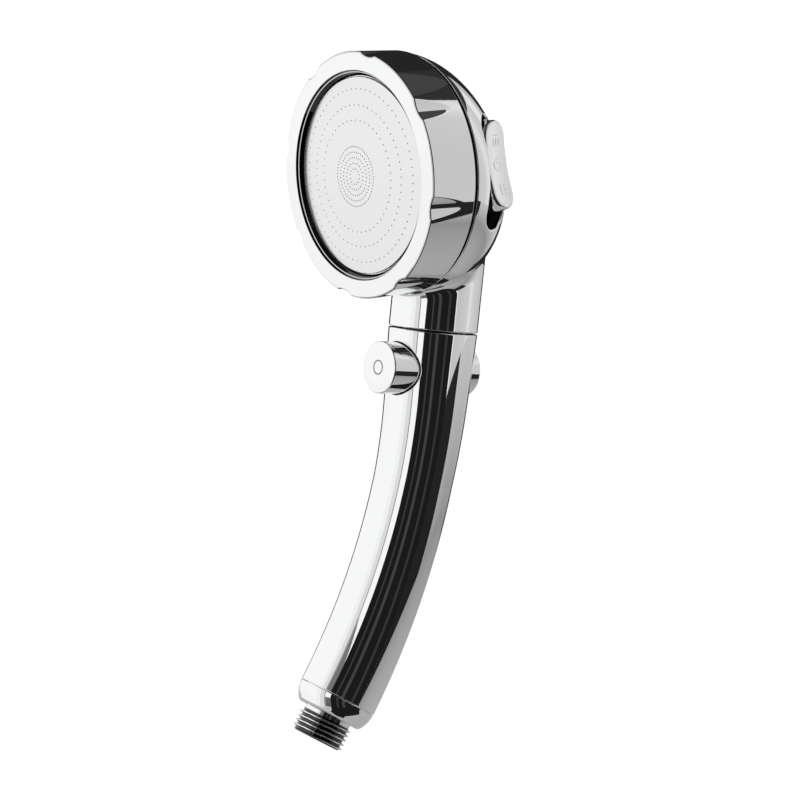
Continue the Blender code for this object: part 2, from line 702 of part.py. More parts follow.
def make_front_bezel(face):
    profile = [(RIM_RADIUS, 0.0), (BEZEL_RADIUS - 0.7, 0.0), (BEZEL_RADIUS, -0.7),
               (BEZEL_RADIUS, -BEZEL_DEPTH + 0.6), (BEZEL_RADIUS - 0.6, -BEZEL_DEPTH),
               (41.7, -BEZEL_DEPTH), (41.7, -10.0), (39.6, -10.0), (39.6, -3.2), (36.3, -3.2),
               (36.3, -2.2), (37.4, -1.2)]
    bezel = turned("front_bezel", profile, FACE, CHROME, segments=48)
    for i in range(SCALLOPS):
        angle = math.radians(SCALLOP_ANGLE + 360.0 / SCALLOPS * i)
        lean = Matrix.Rotation(math.radians(SCALLOP_LEAN), 4, "Y")
        place = FACE @ Matrix.Rotation(angle, 4, "Z") @ placed(SCALLOP_REACH, 0.0, 0.0) @ lean
        cut(bezel, cylinder(f"grip_scallop_{i + 1}", SCALLOP_RADIUS, -BEZEL_DEPTH, 8.0, place, segments=16))
    turn_on("front_bezel_axis", FACE, [bezel], face)


make_handle()
make_stop_button()
HEAD = make_head()
make_rocker(HEAD)
make_shuttle(HEAD)
make_front_bezel(make_spray_face(HEAD))
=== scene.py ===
"""Looks of the handheld shower head, in millimetres in the local frames of its joints and mounts."""

import json
import math

import bpy
import numpy as np
from mathutils import Matrix, Vector
from mathutils.geometry import delaunay_2d_cdt


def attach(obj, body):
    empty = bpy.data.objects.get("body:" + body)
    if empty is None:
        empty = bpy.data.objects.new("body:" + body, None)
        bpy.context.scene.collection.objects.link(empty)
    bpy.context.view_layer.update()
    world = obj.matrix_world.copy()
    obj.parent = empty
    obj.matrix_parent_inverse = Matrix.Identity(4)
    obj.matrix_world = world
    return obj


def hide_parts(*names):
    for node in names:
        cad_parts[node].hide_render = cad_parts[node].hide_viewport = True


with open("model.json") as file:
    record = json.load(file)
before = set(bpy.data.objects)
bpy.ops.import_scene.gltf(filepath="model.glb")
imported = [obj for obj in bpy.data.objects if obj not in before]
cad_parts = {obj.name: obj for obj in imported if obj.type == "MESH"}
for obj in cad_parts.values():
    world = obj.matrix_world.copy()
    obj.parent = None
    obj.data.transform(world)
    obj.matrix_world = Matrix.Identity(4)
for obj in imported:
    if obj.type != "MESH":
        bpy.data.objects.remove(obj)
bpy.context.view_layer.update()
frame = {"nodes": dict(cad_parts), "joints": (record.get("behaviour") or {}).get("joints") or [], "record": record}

SCENE = bpy.context.scene
MM = 0.001
JOINTS = {joint["name"]: joint for joint in frame["joints"]}
MOUNTS = {mount["name"]: mount for mount in frame["record"]["mounts"]}

# Handle, measured along its centre line from the swivel seam down.
NECK_TILT = 10.0
GRIP_TILT = 37.5
STRAIGHT = 25.5
BEND_RADIUS = 256.0
NECK_RADIUS = 17.35
GRIP_RADIUS = 15.5
TAPER_LENGTH = 60.0
TAPER_POWER = 1.2
HANDLE_SIDES = 192
SEAM_EDGE = 0.3
SEAM_LIP = 0.5
COLLAR_EDGE = 0.1
COLLAR_LIP = 0.25

# Head.
HEAD_SIDES = 240
BEZEL_RADIUS = 45.0
BEZEL_DEPTH = 19.6
BEZEL_EDGE = 0.4
BEZEL_CHAMFER = (0.65, 0.28)
RIM_RADIUS = 38.25
SCALLOPS = 8
SCALLOP_ANGLE = 32.0
SCALLOP_RADIUS = 9.0
SCALLOP_REACH = 52.8
SCALLOP_LEAN = math.radians(5.0)
SCALLOP_EDGE = 0.15
SCALLOP_INNER = 42.0
SCALLOP_SPAN = 7.0
BEZEL_GAP = 0.3
DOME_RADIUS = 44.4
DOME_FRONT = 20.8
DOME_DEPTH = 33.8
DOME_DROP = 10.0
DOME_POWER = 2.1
DROP_POWER = 1.3
DOME_LIP = 0.4
DOME_EDGE = 21.15
LIP_WIDTH = 0.8
SPIGOT_ROOT = 40.6
SPIGOT_CREST = 41.3
SPIGOT_PITCH = 1.5
SPIGOT_THREAD = (-15.0, -20.2)
NECK_TOP = 34.0
NECK_BLEND = 4.0
SKIN = 2.0
LIP_RADIUS = 13.0
SURFACE_STEP = 0.5
SETTLE_ROUNDS = 6
SEARCH_ROUNDS = 14
EDGE_STEPS = 8
ARC_STEPS = 64
SIDE_STEPS = 56
PLATE_RADIUS = 35.9
PLATE_CROWN = 2.5
PLATE_RISE = 0.3
HOLE_RADIUS = 0.27
HOLE_DEPTH = 1.3
HOLE_SIDES = 10
RING_TURN = 37.0
HOLE_RINGS = ((2.85, 12), (4.9, 22), (6.95, 32), (8.9, 42), (10.9, 60), (20.4, 48), (25.8, 60), (31.6, 70))

# Mode rocker and its pocket.
POCKET_LENGTH = 41.0
POCKET_WIDTH = 14.0
PIN_RISE = 1.5
POCKET_FLOOR = -5.0
POCKET_RIM = 1.1
ROCKER_LENGTH = 32.0
ROCKER_WIDTH = 12.2
ROCKER_DRAFT = 1.3
ROCKER_SPREAD = 0.4
ROCKER_EDGE = 1.6
ROCKER_CROWN = 0.12
ROCKER_DISH = 1.8
ROCKER_TOP = 9.7
ROCKER_BOTTOM = -2.9
ROCKER_HEIGHT = ROCKER_TOP - ROCKER_BOTTOM
ROCKER_SWING = math.radians(9.5)
SIGN_WIDTH = 0.65
SIGN_HEIGHT = 0.12

# Stop button.
BUTTON_DROP = 15.6
BUTTON_RADIUS = 9.94
BUTTON_HOLE = 10.25
BUTTON_FRONT = 25.2
BUTTON_REAR = -18.6
BUTTON_LENGTH = 12.7

# Inlet.
THREAD_RADIUS = 10.45
THREAD_ROOT = 9.35
THREAD_PITCH = 1.814
THREAD_ROWS = 14
THREAD_START = -8.9
THREAD_END = -17.9
# The thread's painted shade starts and ends this far from the root and from the crest.
THREAD_SHADE = (0.45, 0.12)  # the dark tone's ends, from the root and from the crest
LEAD_IN = 0.3

CHROME_TONE = (0.86, 0.865, 0.87)

# The camera of the product view.
CAMERA_LENS = 68.8
CAMERA_AZIMUTH = 52.0
CAMERA_ELEVATION = 11.5
CAMERA_ROLL = -2.1
CAMERA_DISTANCE = 561.0
CAMERA_ASIDE = 16.4
CAMERA_DROP = 81.97

# The studio, in metres.
STUDIO_RADIUS = 0.45
STUDIO_CENTRE = 0.03
STUDIO_FLOOR = -0.12
STUDIO_TOP = 0.75
WORLD_LIGHT = 1.07
FLOOR_GLOW = 0.05


# Frames and points


def frame_of(origin, z_axis, x_axis=(1.0, 0.0, 0.0)):
    """A local frame in metres; Y completes a right-handed set."""
    z_axis = Vector(z_axis).normalized()
    x_axis = Vector(x_axis)
    x_axis = (x_axis - z_axis * x_axis.dot(z_axis)).normalized()
    turn = Matrix((x_axis, z_axis.cross(x_axis), z_axis)).transposed().to_4x4()
    return Matrix.Translation(Vector(origin)) @ turn


NECK = frame_of(JOINTS["neck_swivel"]["pos_m"], JOINTS["neck_swivel"]["axis"])
FACE = frame_of(JOINTS["bezel_unscrew"]["pos_m"], JOINTS["bezel_unscrew"]["axis"])
INLET = frame_of(MOUNTS["holder_grip"]["pos_m"], MOUNTS["holder_grip"]["axis"])
BUTTON = frame_of(NECK @ Vector((0.0, 0.0, -BUTTON_DROP * MM)),
                  -Vector(JOINTS["stop_button_slide"]["axis"]))
PIN = Vector(JOINTS["mode_rocker_tilt"]["axis"])
ROCKER = frame_of(JOINTS["mode_rocker_tilt"]["pos_m"], PIN.cross(Vector((0.0, 0.0, 1.0))), PIN)
ROCKER_REST = ROCKER @ Matrix.Rotation(-ROCKER_SWING, 4, "X")


def to_world(points, place):
    """Points in millimetres in a local frame, as metres in the row's frame."""
    matrix = np.array(place)
    return np.asarray(points) * MM @ matrix[:3, :3].T + matrix[:3, 3]


def to_local(points, place):
    matrix = np.array(place)
    return (np.asarray(points) - matrix[:3, 3]) @ matrix[:3, :3] / MM


def turned_to(vectors, place):
    return np.asarray(vectors) @ np.array(place)[:3, :3].T


def moved(points, faces, normals, place):
    """A surface in a local frame, as a part for add_piece."""
    return to_world(points, place), faces, turned_to(normals, place)


def unit(vectors):
    return vectors / np.maximum(np.linalg.norm(vectors, axis=-1, keepdims=True), 1e-12)


# Handle centre line


def handle_length():
    return STRAIGHT + BEND_RADIUS * math.radians(GRIP_TILT - NECK_TILT)


def centre_line(distance):
    """Points (y, z) on the centre line and the tilt there, at distances below the seam."""
    tilt = math.radians(NECK_TILT)
    seam = np.array(NECK)[1:3, 3] / MM
    along = np.array((-math.sin(tilt), -math.cos(tilt)))
    straight = np.minimum(distance, STRAIGHT)
    bend = np.maximum(distance - STRAIGHT, 0.0) / BEND_RADIUS
    y = seam[0] + along[0] * straight - BEND_RADIUS * (np.cos(tilt) - np.cos(tilt + bend))
    z = seam[1] + along[1] * straight - BEND_RADIUS * (np.sin(tilt + bend) - np.sin(tilt))
    return y, z, tilt + bend


def handle_radius(distance):
    rest = np.clip(1.0 - distance / TAPER_LENGTH, 0.0, 1.0)
    return GRIP_RADIUS + (NECK_RADIUS - GRIP_RADIUS) * rest ** TAPER_POWER


# Meshes


def whole_turn(count):
    return np.linspace(0.0, math.tau, count, endpoint=False)


def rates(function, step, *values):
    """How fast a function of several values changes with each of them."""
    found = []
    for i in range(len(values)):
        shift = [step * (i == j) for j in range(len(values))]
        ahead = function(*[value + move for value, move in zip(values, shift)])
        behind = function(*[value - move for value, move in zip(values, shift)])
        found.append((ahead - behind) / (2.0 * step))
    return found


def between(first, second, angle, share):
    """Unit vectors on the way from the first to the second, which are an angle apart."""
    return (np.sin((1.0 - share) * angle) * first + np.sin(share * angle) * second) / np.sin(angle)


def grid_faces(rows, columns, wrap):
    """Quads between the rows of points; wrap joins the last column to the first."""
    i, j = np.meshgrid(np.arange(rows - 1), np.arange(columns if wrap else columns - 1), indexing="ij")
    here, below = i * columns, (i + 1) * columns
    after = (j + 1) % columns
    return np.stack([here + j, below + j, below + after, here + after], -1).reshape(-1, 4)


def as_lists(faces):
    """Faces as one plain list, from an array or from a list of faces of any size."""
    return faces.tolist() if isinstance(faces, np.ndarray) else [list(face) for face in faces]


def add_piece(name, parts, material, body, replaces=()):
    """One object from parts, each of world points, faces and point normals."""
    points = []
    normals = []
    faces = []
    for part_points, part_faces, part_normals in parts:
        start = sum(len(p) for p in points)
        points.append(part_points)
        normals.append(part_normals)
        faces += [[start + index for index in face] for face in as_lists(part_faces)]
    points = np.concatenate(points)
    normals = np.concatenate(normals)
    mesh = bpy.data.meshes.new(name)
    mesh.from_pydata(points.tolist(), [], faces)
    mesh.update()
    mesh.shade_smooth()
    mesh.normals_split_custom_set_from_vertices(unit(normals).tolist())
    obj = bpy.data.objects.new(name, mesh)
    SCENE.collection.objects.link(obj)
    obj.data.materials.append(material)
    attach(obj, body)
    if replaces:
        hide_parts(*replaces)


def rounded(outline, closed=False, step=math.radians(9.0)):
    """Points and outward normals along corners (r, z, fillet), with each corner rounded by its fillet."""
    corners = [np.array(corner[:2], float) for corner in outline]
    fillets = [corner[2] if len(corner) > 2 else 0.0 for corner in outline]
    points = []
    normals = []
    count = len(corners)
    for i, corner in enumerate(corners):
        before = corners[i - 1] if closed or i > 0 else 2.0 * corner - corners[1]
        after = corners[(i + 1) % count] if closed or i < count - 1 else 2.0 * corner - corners[-2]
        come = unit(corner - before)
        leave = unit(after - corner)
        turn = math.atan2(come[0] * leave[1] - come[1] * leave[0], float(come @ leave))
        if abs(turn) < 1e-4:
            points.append(corner)
            normals.append((-come[1], come[0]))
            continue
        radius = max(fillets[i], 1e-3)
        start = corner - come * radius * abs(math.tan(turn / 2.0))
        centre = start + radius * math.copysign(1.0, turn) * np.array((-come[1], come[0]))
        pieces = max(2, math.ceil(abs(turn) / step))
        for angle in (turn * k / pieces for k in range(pieces + 1)):
            cosine, sine = math.cos(angle), math.sin(angle)
            matrix = np.array(((cosine, -sine), (sine, cosine)))
            heading = matrix @ come
            points.append(centre + matrix @ (start - centre))
            normals.append((-heading[1], heading[0]))
    if closed:
        points.append(points[0])
        normals.append(normals[0])
    return np.array(points), np.array(normals)


def revolved(r, theta, z, normals, faces, place):
    """A surface in round coordinates, as a part. The normals run out, around and up."""
    cosine, sine = np.cos(theta), np.sin(theta)
    out, around, up = normals
    points = np.stack([r * cosine, r * sine, z], -1)
    vectors = np.stack([out * cosine - around * sine, out * sine + around * cosine, up], -1)
    return moved(points.reshape(-1, 3), faces, vectors.reshape(-1, 3), place)


def lathe(outline, place, segments=160, closed=False, warp=None, angles=None):
    """A turned surface; the outline runs down its outer side. A warp moves each ring's radius."""
    points, normals = rounded(outline, closed)
    if angles is None:
        angles = whole_turn(segments)
    r, theta = np.meshgrid(points[:, 0], angles, indexing="ij")
    z, out, up = (np.broadcast_to(row[:, None], r.shape) for row in (points[:, 1], *normals.T))
    around = np.zeros_like(r)
    if warp is not None:
        r, out, around, up = warp(r, theta, z, out, up)
    faces = drop_slivers(grid_faces(*r.shape, True), np.repeat(points[:, 0] < 1e-6, len(angles)))
    return revolved(r, theta, z, (out, around, up), faces, place)


def drop_slivers(faces, on_axis):
    """Quads whose ends meet on the axis become triangles."""
    made = []
    for face in faces.tolist():
        poles = [index for index in face if on_axis[index]]
        kept = [index for index in face if index not in poles[1:]]
        if len(kept) > 2:
            made.append(kept)
    return made


def clip(part, level):
    """Keeps the side of a surface where level is positive, cut cleanly along its zero line."""
    points, faces, normals = part
    faces = as_lists(faces)
    inside = level(points) > 0.0
    cuts = {}
    for face in faces:
        for here, after in zip(face, face[1:] + face[:1]):
            if inside[here] != inside[after]:
                cuts.setdefault((min(here, after), max(here, after)), len(points) + len(cuts))
    if cuts:
        starts, ends = np.array(list(cuts)).T
        share = crossings(level, points[starts], points[ends])[:, None]
        points = np.concatenate([points, points[starts] * (1.0 - share) + points[ends] * share])
        normals = np.concatenate([normals, normals[starts] * (1.0 - share) + normals[ends] * share])
    kept = []
    for face in faces:
        polygon = []
        for here, after in zip(face, face[1:] + face[:1]):
            if inside[here]:
                polygon.append(here)
            if inside[here] != inside[after]:
                polygon.append(cuts[(min(here, after), max(here, after))])
        if len(polygon) > 2:
            kept.append(polygon)
    return compact(points, kept, normals)


def crossings(level, starts, ends):
    """The share of the way from each start to its end at which level changes sign."""
    low = np.zeros(len(starts))
    high = np.ones(len(starts))
    sign = level(starts) > 0.0
    for _ in range(SEARCH_ROUNDS):
        middle = (low + high) / 2.0
        same = (level(starts * (1.0 - middle)[:, None] + ends * middle[:, None]) > 0.0) == sign
        low = np.where(same, middle, low)
        high = np.where(same, high, middle)
    return (low + high) / 2.0


def compact(points, faces, normals):
    """The same surface without the points that no face uses."""
    used = np.unique([index for face in faces for index in face])
    place = {old: new for new, old in enumerate(used.tolist())}
    return points[used], [[place[index] for index in face] for face in faces], normals[used]


def lining(part, thickness):
    """The inner side of a wall, one thickness below its outer side."""
    points, faces, normals = part
    return points - unit(normals) * thickness * MM, [face[::-1] for face in as_lists(faces)], -normals


# Implicit surfaces


def slope(surface, points):
    """The gradient of a surface function, by differences."""
    step = 1e-6
    changes = [surface(points + shift) - surface(points - shift) for shift in step * np.eye(3)]
    return np.stack(changes, -1) / (2.0 * step)


def settle(surface, points):
    """Moves points onto the surface along its gradient."""
    for _ in range(SETTLE_ROUNDS):
        gradient = slope(surface, points)
        points = points - gradient * (surface(points) / (gradient ** 2).sum(-1))[:, None]
    return points


def dome(points):
    """Half a ball drawn out to the back, each ring lower than the one before it."""
    x, y, z = to_local(points, FACE).T
    s = np.clip((-z - DOME_FRONT) / DOME_DEPTH, 0.0, 1.5)
    ring = np.hypot(x, y + DOME_DROP * s ** DROP_POWER) / DOME_RADIUS
    return ((ring ** DOME_POWER + s ** DOME_POWER) ** (1.0 / DOME_POWER) - 1.0) * DOME_RADIUS


def neck(points):
    x, y, z = to_local(points, NECK).T
    return np.sqrt(x * x + y * y + np.maximum(z - NECK_TOP, 0.0) ** 2) - NECK_RADIUS


def head_surface(points):
    """The dome and the neck, joined by a soft fillet."""
    a, b = dome(points), neck(points)
    overlap = np.maximum(NECK_BLEND - np.abs(a - b), 0.0)
    return np.minimum(a, b) - overlap ** 2 / (4.0 * NECK_BLEND)


def handle_surface(points):
    """Outside is positive. The nearest point of the centre line is found on its straight top or its bend."""
    x, y, z = to_local(points, NECK).T
    bend = np.array((0.0, -BEND_RADIUS, -STRAIGHT))
    turn = np.arctan2(-(z - bend[2]), y - bend[1])
    across_bend = np.hypot(y - bend[1], z - bend[2]) - BEND_RADIUS
    on_bend = turn > 0.0
    across = np.where(on_bend, across_bend, y)
    distance = np.where(on_bend, STRAIGHT + turn * BEND_RADIUS, -z)
    return np.hypot(x, across) - handle_radius(np.maximum(distance, 0.0))


def surface_net(surface, low, high, step):
    """Quads near the zero of a surface function inside a world box, in metres."""
    counts = np.ceil((high - low) / step).astype(int) + 1
    axes = [low[i] + step * np.arange(counts[i]) for i in range(3)]
    grid = np.stack(np.meshgrid(*axes, indexing="ij"), -1)
    values = surface(grid.reshape(-1, 3)).reshape(counts)
    inside = values < 0.0
    cells = tuple(counts - 1)
    total = np.zeros(cells + (3,))
    hits = np.zeros(cells)
    for start in np.ndindex(2, 2, 2):
        for axis in range(3):
            if start[axis]:
                continue
            end = tuple(start[i] + (i == axis) for i in range(3))
            first, second = (tuple(slice(corner[i], corner[i] + cells[i]) for i in range(3))
                             for corner in (start, end))
            changes = inside[first] != inside[second]
            gap = values[first] - values[second]
            share = np.where(changes, values[first] / np.where(gap == 0.0, 1.0, gap), 0.0)
            place = grid[first] + (grid[second] - grid[first]) * share[..., None]
            total += place * changes[..., None]
            hits += changes
    used = hits > 0
    number = np.full(cells, -1)
    number[used] = np.arange(int(used.sum()))
    points = (total / np.maximum(hits, 1)[..., None])[used]
    faces = []
    for axis in range(3):
        u, v = np.eye(3, dtype=int)[[(axis + 1) % 3, (axis + 2) % 3]]
        before = tuple(slice(int(i != axis), -1) for i in range(3))
        beyond = tuple(slice(1, None if i == axis else -1) for i in range(3))
        where = np.argwhere(inside[before] != inside[beyond]) + u + v
        quads = np.stack([number[tuple(cell.T)] for cell in (where, where - u, where - u - v, where - v)], -1)
        leaving = inside[tuple(where.T)]
        faces.append(np.where(leaving[:, None], quads, quads[:, ::-1]))
    return points, np.concatenate(faces)


# Holes with rounded edges


class Hole:
    """A stadium-shaped hole along Z of a frame; a round one has no straight sides."""

    def __init__(self, place, radius, half=0.0, centre=0.0, fillet=0.5):
        self.place = place
        self.radius = radius
        self.half = half
        self.centre = centre
        self.fillet = fillet

    def offset(self, points):
        """Distance outside the hole's wall, and the direction away from it."""
        x, y, _ = to_local(points, self.place).T
        y = y - self.centre
        y = y - np.clip(y, -self.half, self.half)
        reach = np.maximum(np.hypot(x, y), 1e-9)
        away = np.stack([x / reach, y / reach, np.zeros_like(x)], -1)
        return reach - self.radius, turned_to(away, self.place)

    def level(self, surface, towards):
        """Positive outside the edge's fillet. Only the side that looks towards +Z (1) or -Z (-1) is cut."""
        def keep(points):
            gap, away = self.offset(points)
            facing = unit(slope(surface, points))
            side = to_local(points, self.place)[:, 2] * towards
            edge = gap - self.fillet * (1.0 + (facing * away).sum(-1))
            return np.where(side > 0.0, edge, 1.0)
        return keep

    def rim(self, surface, towards, start, wall):
        """The rounded edge and a wall of even height below it."""
        around, flat = stadium(self.radius, self.half, self.centre)
        count = len(around)
        outward = turned_to(np.column_stack([flat, np.zeros(count)]), self.place)
        rise = turned_to(np.array([[0.0, 0.0, 1.0]]), self.place)[0]
        height = np.full(count, start)
        gap = np.full(count, self.fillet)
        for _ in range(SEARCH_ROUNDS):
            local = np.column_stack([around + flat * gap[:, None], height])
            points = to_world(local, self.place)
            gradient = slope(surface, points)
            facing = unit(gradient)
            height = height - surface(points) / (gradient @ rise) / MM
            gap = self.fillet * (1.0 + (facing * outward).sum(-1))
        angle = np.arccos(np.clip(-(facing * outward).sum(-1), -1.0, 1.0))[:, None]
        centre = points - facing * self.fillet * MM
        rows = []
        normals = []
        for share in np.linspace(0.0, 1.0, EDGE_STEPS + 1):
            spoke = between(facing, -outward, angle, share)
            rows.append(centre + spoke * self.fillet * MM)
            normals.append(spoke)
        foot = to_local(rows[-1], self.place)
        foot[:, 2] -= wall * towards
        rows += [rows[-1], to_world(foot, self.place)]
        normals += [-outward, -outward]
        faces = grid_faces(len(rows), count, True)
        if towards > 0:
            faces = faces[:, ::-1]
        return np.concatenate(rows), faces, np.concatenate(normals)

    def liner(self, upper, lower, inset):
        """A plain wall between two levels in the hole's frame, slightly inside the hole."""
        around, away = stadium(self.radius - inset, self.half, self.centre)
        count = len(around)
        levels = [np.column_stack([around, np.broadcast_to(level, count)]) for level in (upper, lower)]
        inward = np.column_stack([-away, np.zeros(count)])
        faces = grid_faces(2, count, True)[:, ::-1]
        return moved(np.concatenate(levels), faces, np.concatenate([inward, inward]), self.place)


def stadium(radius, half, centre=0.0):
    """Points around a stadium along Y, counter-clockwise, and the directions away from it."""
    side = SIDE_STEPS if half > 0.0 else 0
    bend = np.linspace(0.0, math.pi, ARC_STEPS, endpoint=False)
    rise = np.linspace(-half, half, side, endpoint=False)
    turn = np.concatenate([np.zeros(side), bend, np.full(side, math.pi), math.pi + bend])
    shift = np.concatenate([rise, np.full(ARC_STEPS, half), -rise, np.full(ARC_STEPS, -half)])
    away = np.stack([np.cos(turn), np.sin(turn)], -1)
    points = away * radius
    points[:, 1] += shift + centre
    return points, away


# Materials


class Shader:
    """A Principled material and short calls for its nodes."""

    def __init__(self, name, colour, metallic, roughness):
        self.material = bpy.data.materials.new(name)
        self.material.use_nodes = True
        self.tree = self.material.node_tree
        self.shader = self.tree.nodes["Principled BSDF"]
        self.shader.inputs["Base Color"].default_value = (*colour, 1.0)
        self.shader.inputs["Metallic"].default_value = metallic
        self.shader.inputs["Roughness"].default_value = roughness
        self.place = self.tree.nodes.new("ShaderNodeTexCoord").outputs

    def fill(self, socket, value):
        if isinstance(value, bpy.types.NodeSocket):
            self.tree.links.new(value, socket)
        else:
            socket.default_value = value

    def node(self, kind, **inputs):
        made = self.tree.nodes.new("ShaderNode" + kind)
        for name, value in inputs.items():
            self.fill(made.inputs[name.replace("_", " ")], value)
        return made

    def maths(self, kind, operation, output, *values):
        """One Math or VectorMath node's output."""
        made = self.tree.nodes.new("ShaderNode" + kind)
        made.operation = operation
        for socket, value in zip(made.inputs, values):
            self.fill(socket, value)
        return made.outputs[output]

    def ramp(self, value, start, end, low, high):
        made = self.node("MapRange", Value=value, From_Min=start, From_Max=end, To_Min=low, To_Max=high)
        return made.outputs["Result"]

    def noise(self, scale, detail=3.0, stretch=(1.0, 1.0, 1.0)):
        mapping = self.node("Mapping", Vector=self.place["Object"], Scale=stretch)
        return self.node("TexNoise", Vector=mapping.outputs[0], Scale=scale, Detail=detail).outputs["Fac"]

    def gloss(self, factor, low, high):
        """Lets the roughness follow the middle range of a noise."""
        self.tree.links.new(self.ramp(factor, 0.3, 0.7, low, high), self.shader.inputs["Roughness"])

    def tone(self, factor, first, second):
        """Blends the base colour from the first, where the factor is 0, to the second, where it is 1."""
        mix = self.tree.nodes.new("ShaderNodeMix")
        mix.data_type = "RGBA"
        self.fill(mix.inputs["Factor"], factor)
        ends = [socket for socket in mix.inputs if socket.type == "RGBA"]
        for socket, colour in zip(ends, (first, second)):
            socket.default_value = (*colour, 1.0)
        blend = [socket for socket in mix.outputs if socket.type == "RGBA"]
        self.tree.links.new(blend[0], self.shader.inputs["Base Color"])

    def bump(self, *layers):
        """Layers of (height, strength, distance in millimetres), one on the other."""
        below = None
        for height, strength, distance in layers:
            made = self.node("Bump", Height=height, Strength=strength, Distance=distance * MM)
            if below is not None:
                self.tree.links.new(below, made.inputs["Normal"])
            below = made.outputs["Normal"]
        self.tree.links.new(below, self.shader.inputs["Normal"])


def chrome(name, finest=0.0175):
    """Bright plating with faint waves, handling marks and fine dust."""
    made = Shader(name, CHROME_TONE, 1.0, 0.025)
    made.gloss(made.noise(90.0, 4.0), finest, 0.04)
    made.bump((made.noise(55.0, 1.0), 0.35, 0.012), (made.noise(2600.0, 2.0), 0.10, 0.002))
    return made


def bezel_material():
    """Chrome with painted shade: its turned edges are coloured dark, as thin dark lines."""
    made = chrome("chrome_bezel_painted_shade", 0.018)
    facing = made.maths("VectorMath", "DOT_PRODUCT", "Value", made.place["Normal"], FACE.to_3x3().col[2])
    size = made.maths("Math", "ABSOLUTE", "Value", facing)
    above = made.ramp(size, 0.12, 0.25, 0.0, 1.0)
    below = made.ramp(size, 0.85, 0.95, 1.0, 0.0)
    edge = made.maths("Math", "MULTIPLY", "Value", above, below)
    # Painted shade: the base colour turns dark on the edge fillets, where the normal leans between the face and
    # the side.
    made.tone(edge, CHROME_TONE, (0.06, 0.06, 0.062))
    return made.material


def thread_material():
    """Plating with painted shade: the base colour darkens to a dark tone in the roots of the hose thread."""
    crest = (0.85, 0.855, 0.86)
    made = Shader("chrome_thread_painted_shade", crest, 1.0, 0.08)
    across = made.maths("VectorMath", "CROSS_PRODUCT", "Vector", made.place["Object"], INLET.to_3x3().col[2])
    reach = made.maths("VectorMath", "LENGTH", "Value", across)
    start, end = THREAD_ROOT + THREAD_SHADE[0], THREAD_RADIUS - THREAD_SHADE[1]
    # Painted shade: dark near the thread's root, bright towards its crest.
    made.tone(made.ramp(reach, start * MM, end * MM, 0.0, 1.0), (0.07, 0.07, 0.072), crest)
    made.gloss(made.noise(300.0, 3.0), 0.06, 0.14)
    made.bump((made.noise(900.0, 2.0), 0.2, 0.004))
    return made.material


def plate_material():
    """Satin stainless steel."""
    made = Shader("stainless_face", (0.78, 0.78, 0.785), 1.0, 0.22)
    cloud = made.noise(35.0, 2.0)
    made.gloss(cloud, 0.19, 0.26)
    made.bump((made.noise(900.0, 4.0), 0.12, 0.004), (cloud, 0.2, 0.02))
    return made.material


def worked_metal(name, colour, roughness, gloss, grain, strength, stretch):
    """Bare metal with tool marks. gloss is (noise scale, detail, low, high), and grain the marks' scale."""
    made = Shader(name, colour, 1.0, roughness)
    made.gloss(made.noise(*gloss[:2]), *gloss[2:])
    made.bump((made.noise(grain, 3.0, stretch), strength, 0.01))
    return made.material


def plastic_material(name, colour, roughness, grain=0.01):
    """Moulded plastic: a fine spark-eroded grain and slightly uneven gloss."""
    made = Shader(name, colour, 0.0, roughness)
    made.gloss(made.noise(250.0, 3.0), roughness * 0.85, roughness * 1.2)
    made.tone(made.noise(60.0, 2.0), [value * 0.86 for value in colour], colour)
    made.bump((made.noise(3500.0, 2.0), 0.3, grain))
    return made.material


CHROME = chrome("chrome_plate").material
THREAD_CHROME = thread_material()
BEZEL_CHROME_PAINTED_SHADE = bezel_material()
PLATE = plate_material()
STEEL = worked_metal("stainless_steel", (0.62, 0.62, 0.63), 0.3, (400.0, 4.0, 0.22, 0.42), 1800.0, 0.2,
                     (1.0, 1.0, 0.1))
BLACK = plastic_material("black_plastic", (0.012, 0.012, 0.013), 0.42)
WHITE = plastic_material("white_acetal", (0.80, 0.80, 0.78), 0.38)
RUBBER = plastic_material("black_rubber", (0.022, 0.022, 0.022), 0.72, 0.02)
INK = plastic_material("grey_mark", (0.16, 0.16, 0.165), 0.5)
BRASS = worked_metal("turned_brass", (0.80, 0.60, 0.30), 0.24, (300.0, 3.0, 0.18, 0.34), 1500.0, 0.25,
                     (0.1, 1.0, 1.0))
SLOT_MATERIALS = {"chrome_plate": CHROME, "stainless_steel": STEEL, "white_acetal": WHITE,
                  "black_plastic": BLACK, "brass": BRASS, "black_rubber": RUBBER}


def finish_frame_nodes():
    """Gives every CAD node that stays the material of its slot."""
    slots = {part["node"]: part["material_slot"] for part in frame["record"]["subparts"]}
    for name, obj in frame["nodes"].items():
        for slot in obj.material_slots:
            slot.material = SLOT_MATERIALS[slots[name]]


# Handle


def sweep(start, end, rows=150, columns=144):
    """The handle's outer surface between two distances below the seam."""
    s, theta = np.meshgrid(np.linspace(start, end, rows), whole_turn(columns), indexing="ij")
    y, z, tilt = centre_line(s)
    radius = handle_radius(s)
    (growth,) = rates(handle_radius, 0.01, s)
    back = np.stack([np.zeros_like(s), np.cos(tilt), -np.sin(tilt)], -1)
    down = np.stack([np.zeros_like(s), -np.sin(tilt), -np.cos(tilt)], -1)
    side = np.array((1.0, 0.0, 0.0))
    out = np.cos(theta)[..., None] * side + np.sin(theta)[..., None] * back
    bend = np.where(s > STRAIGHT, 1.0 / BEND_RADIUS, 0.0)
    stretch = 1.0 + radius * bend * np.sin(theta)
    points = np.stack([np.zeros_like(s), y, z], -1) + out * radius[..., None]
    normals = out - down * (growth / stretch)[..., None]
    return (points * MM).reshape(-1, 3), grid_faces(rows, columns, True), normals.reshape(-1, 3)


CAP_HOLE = Hole(BUTTON, BUTTON_HOLE, fillet=0.45)


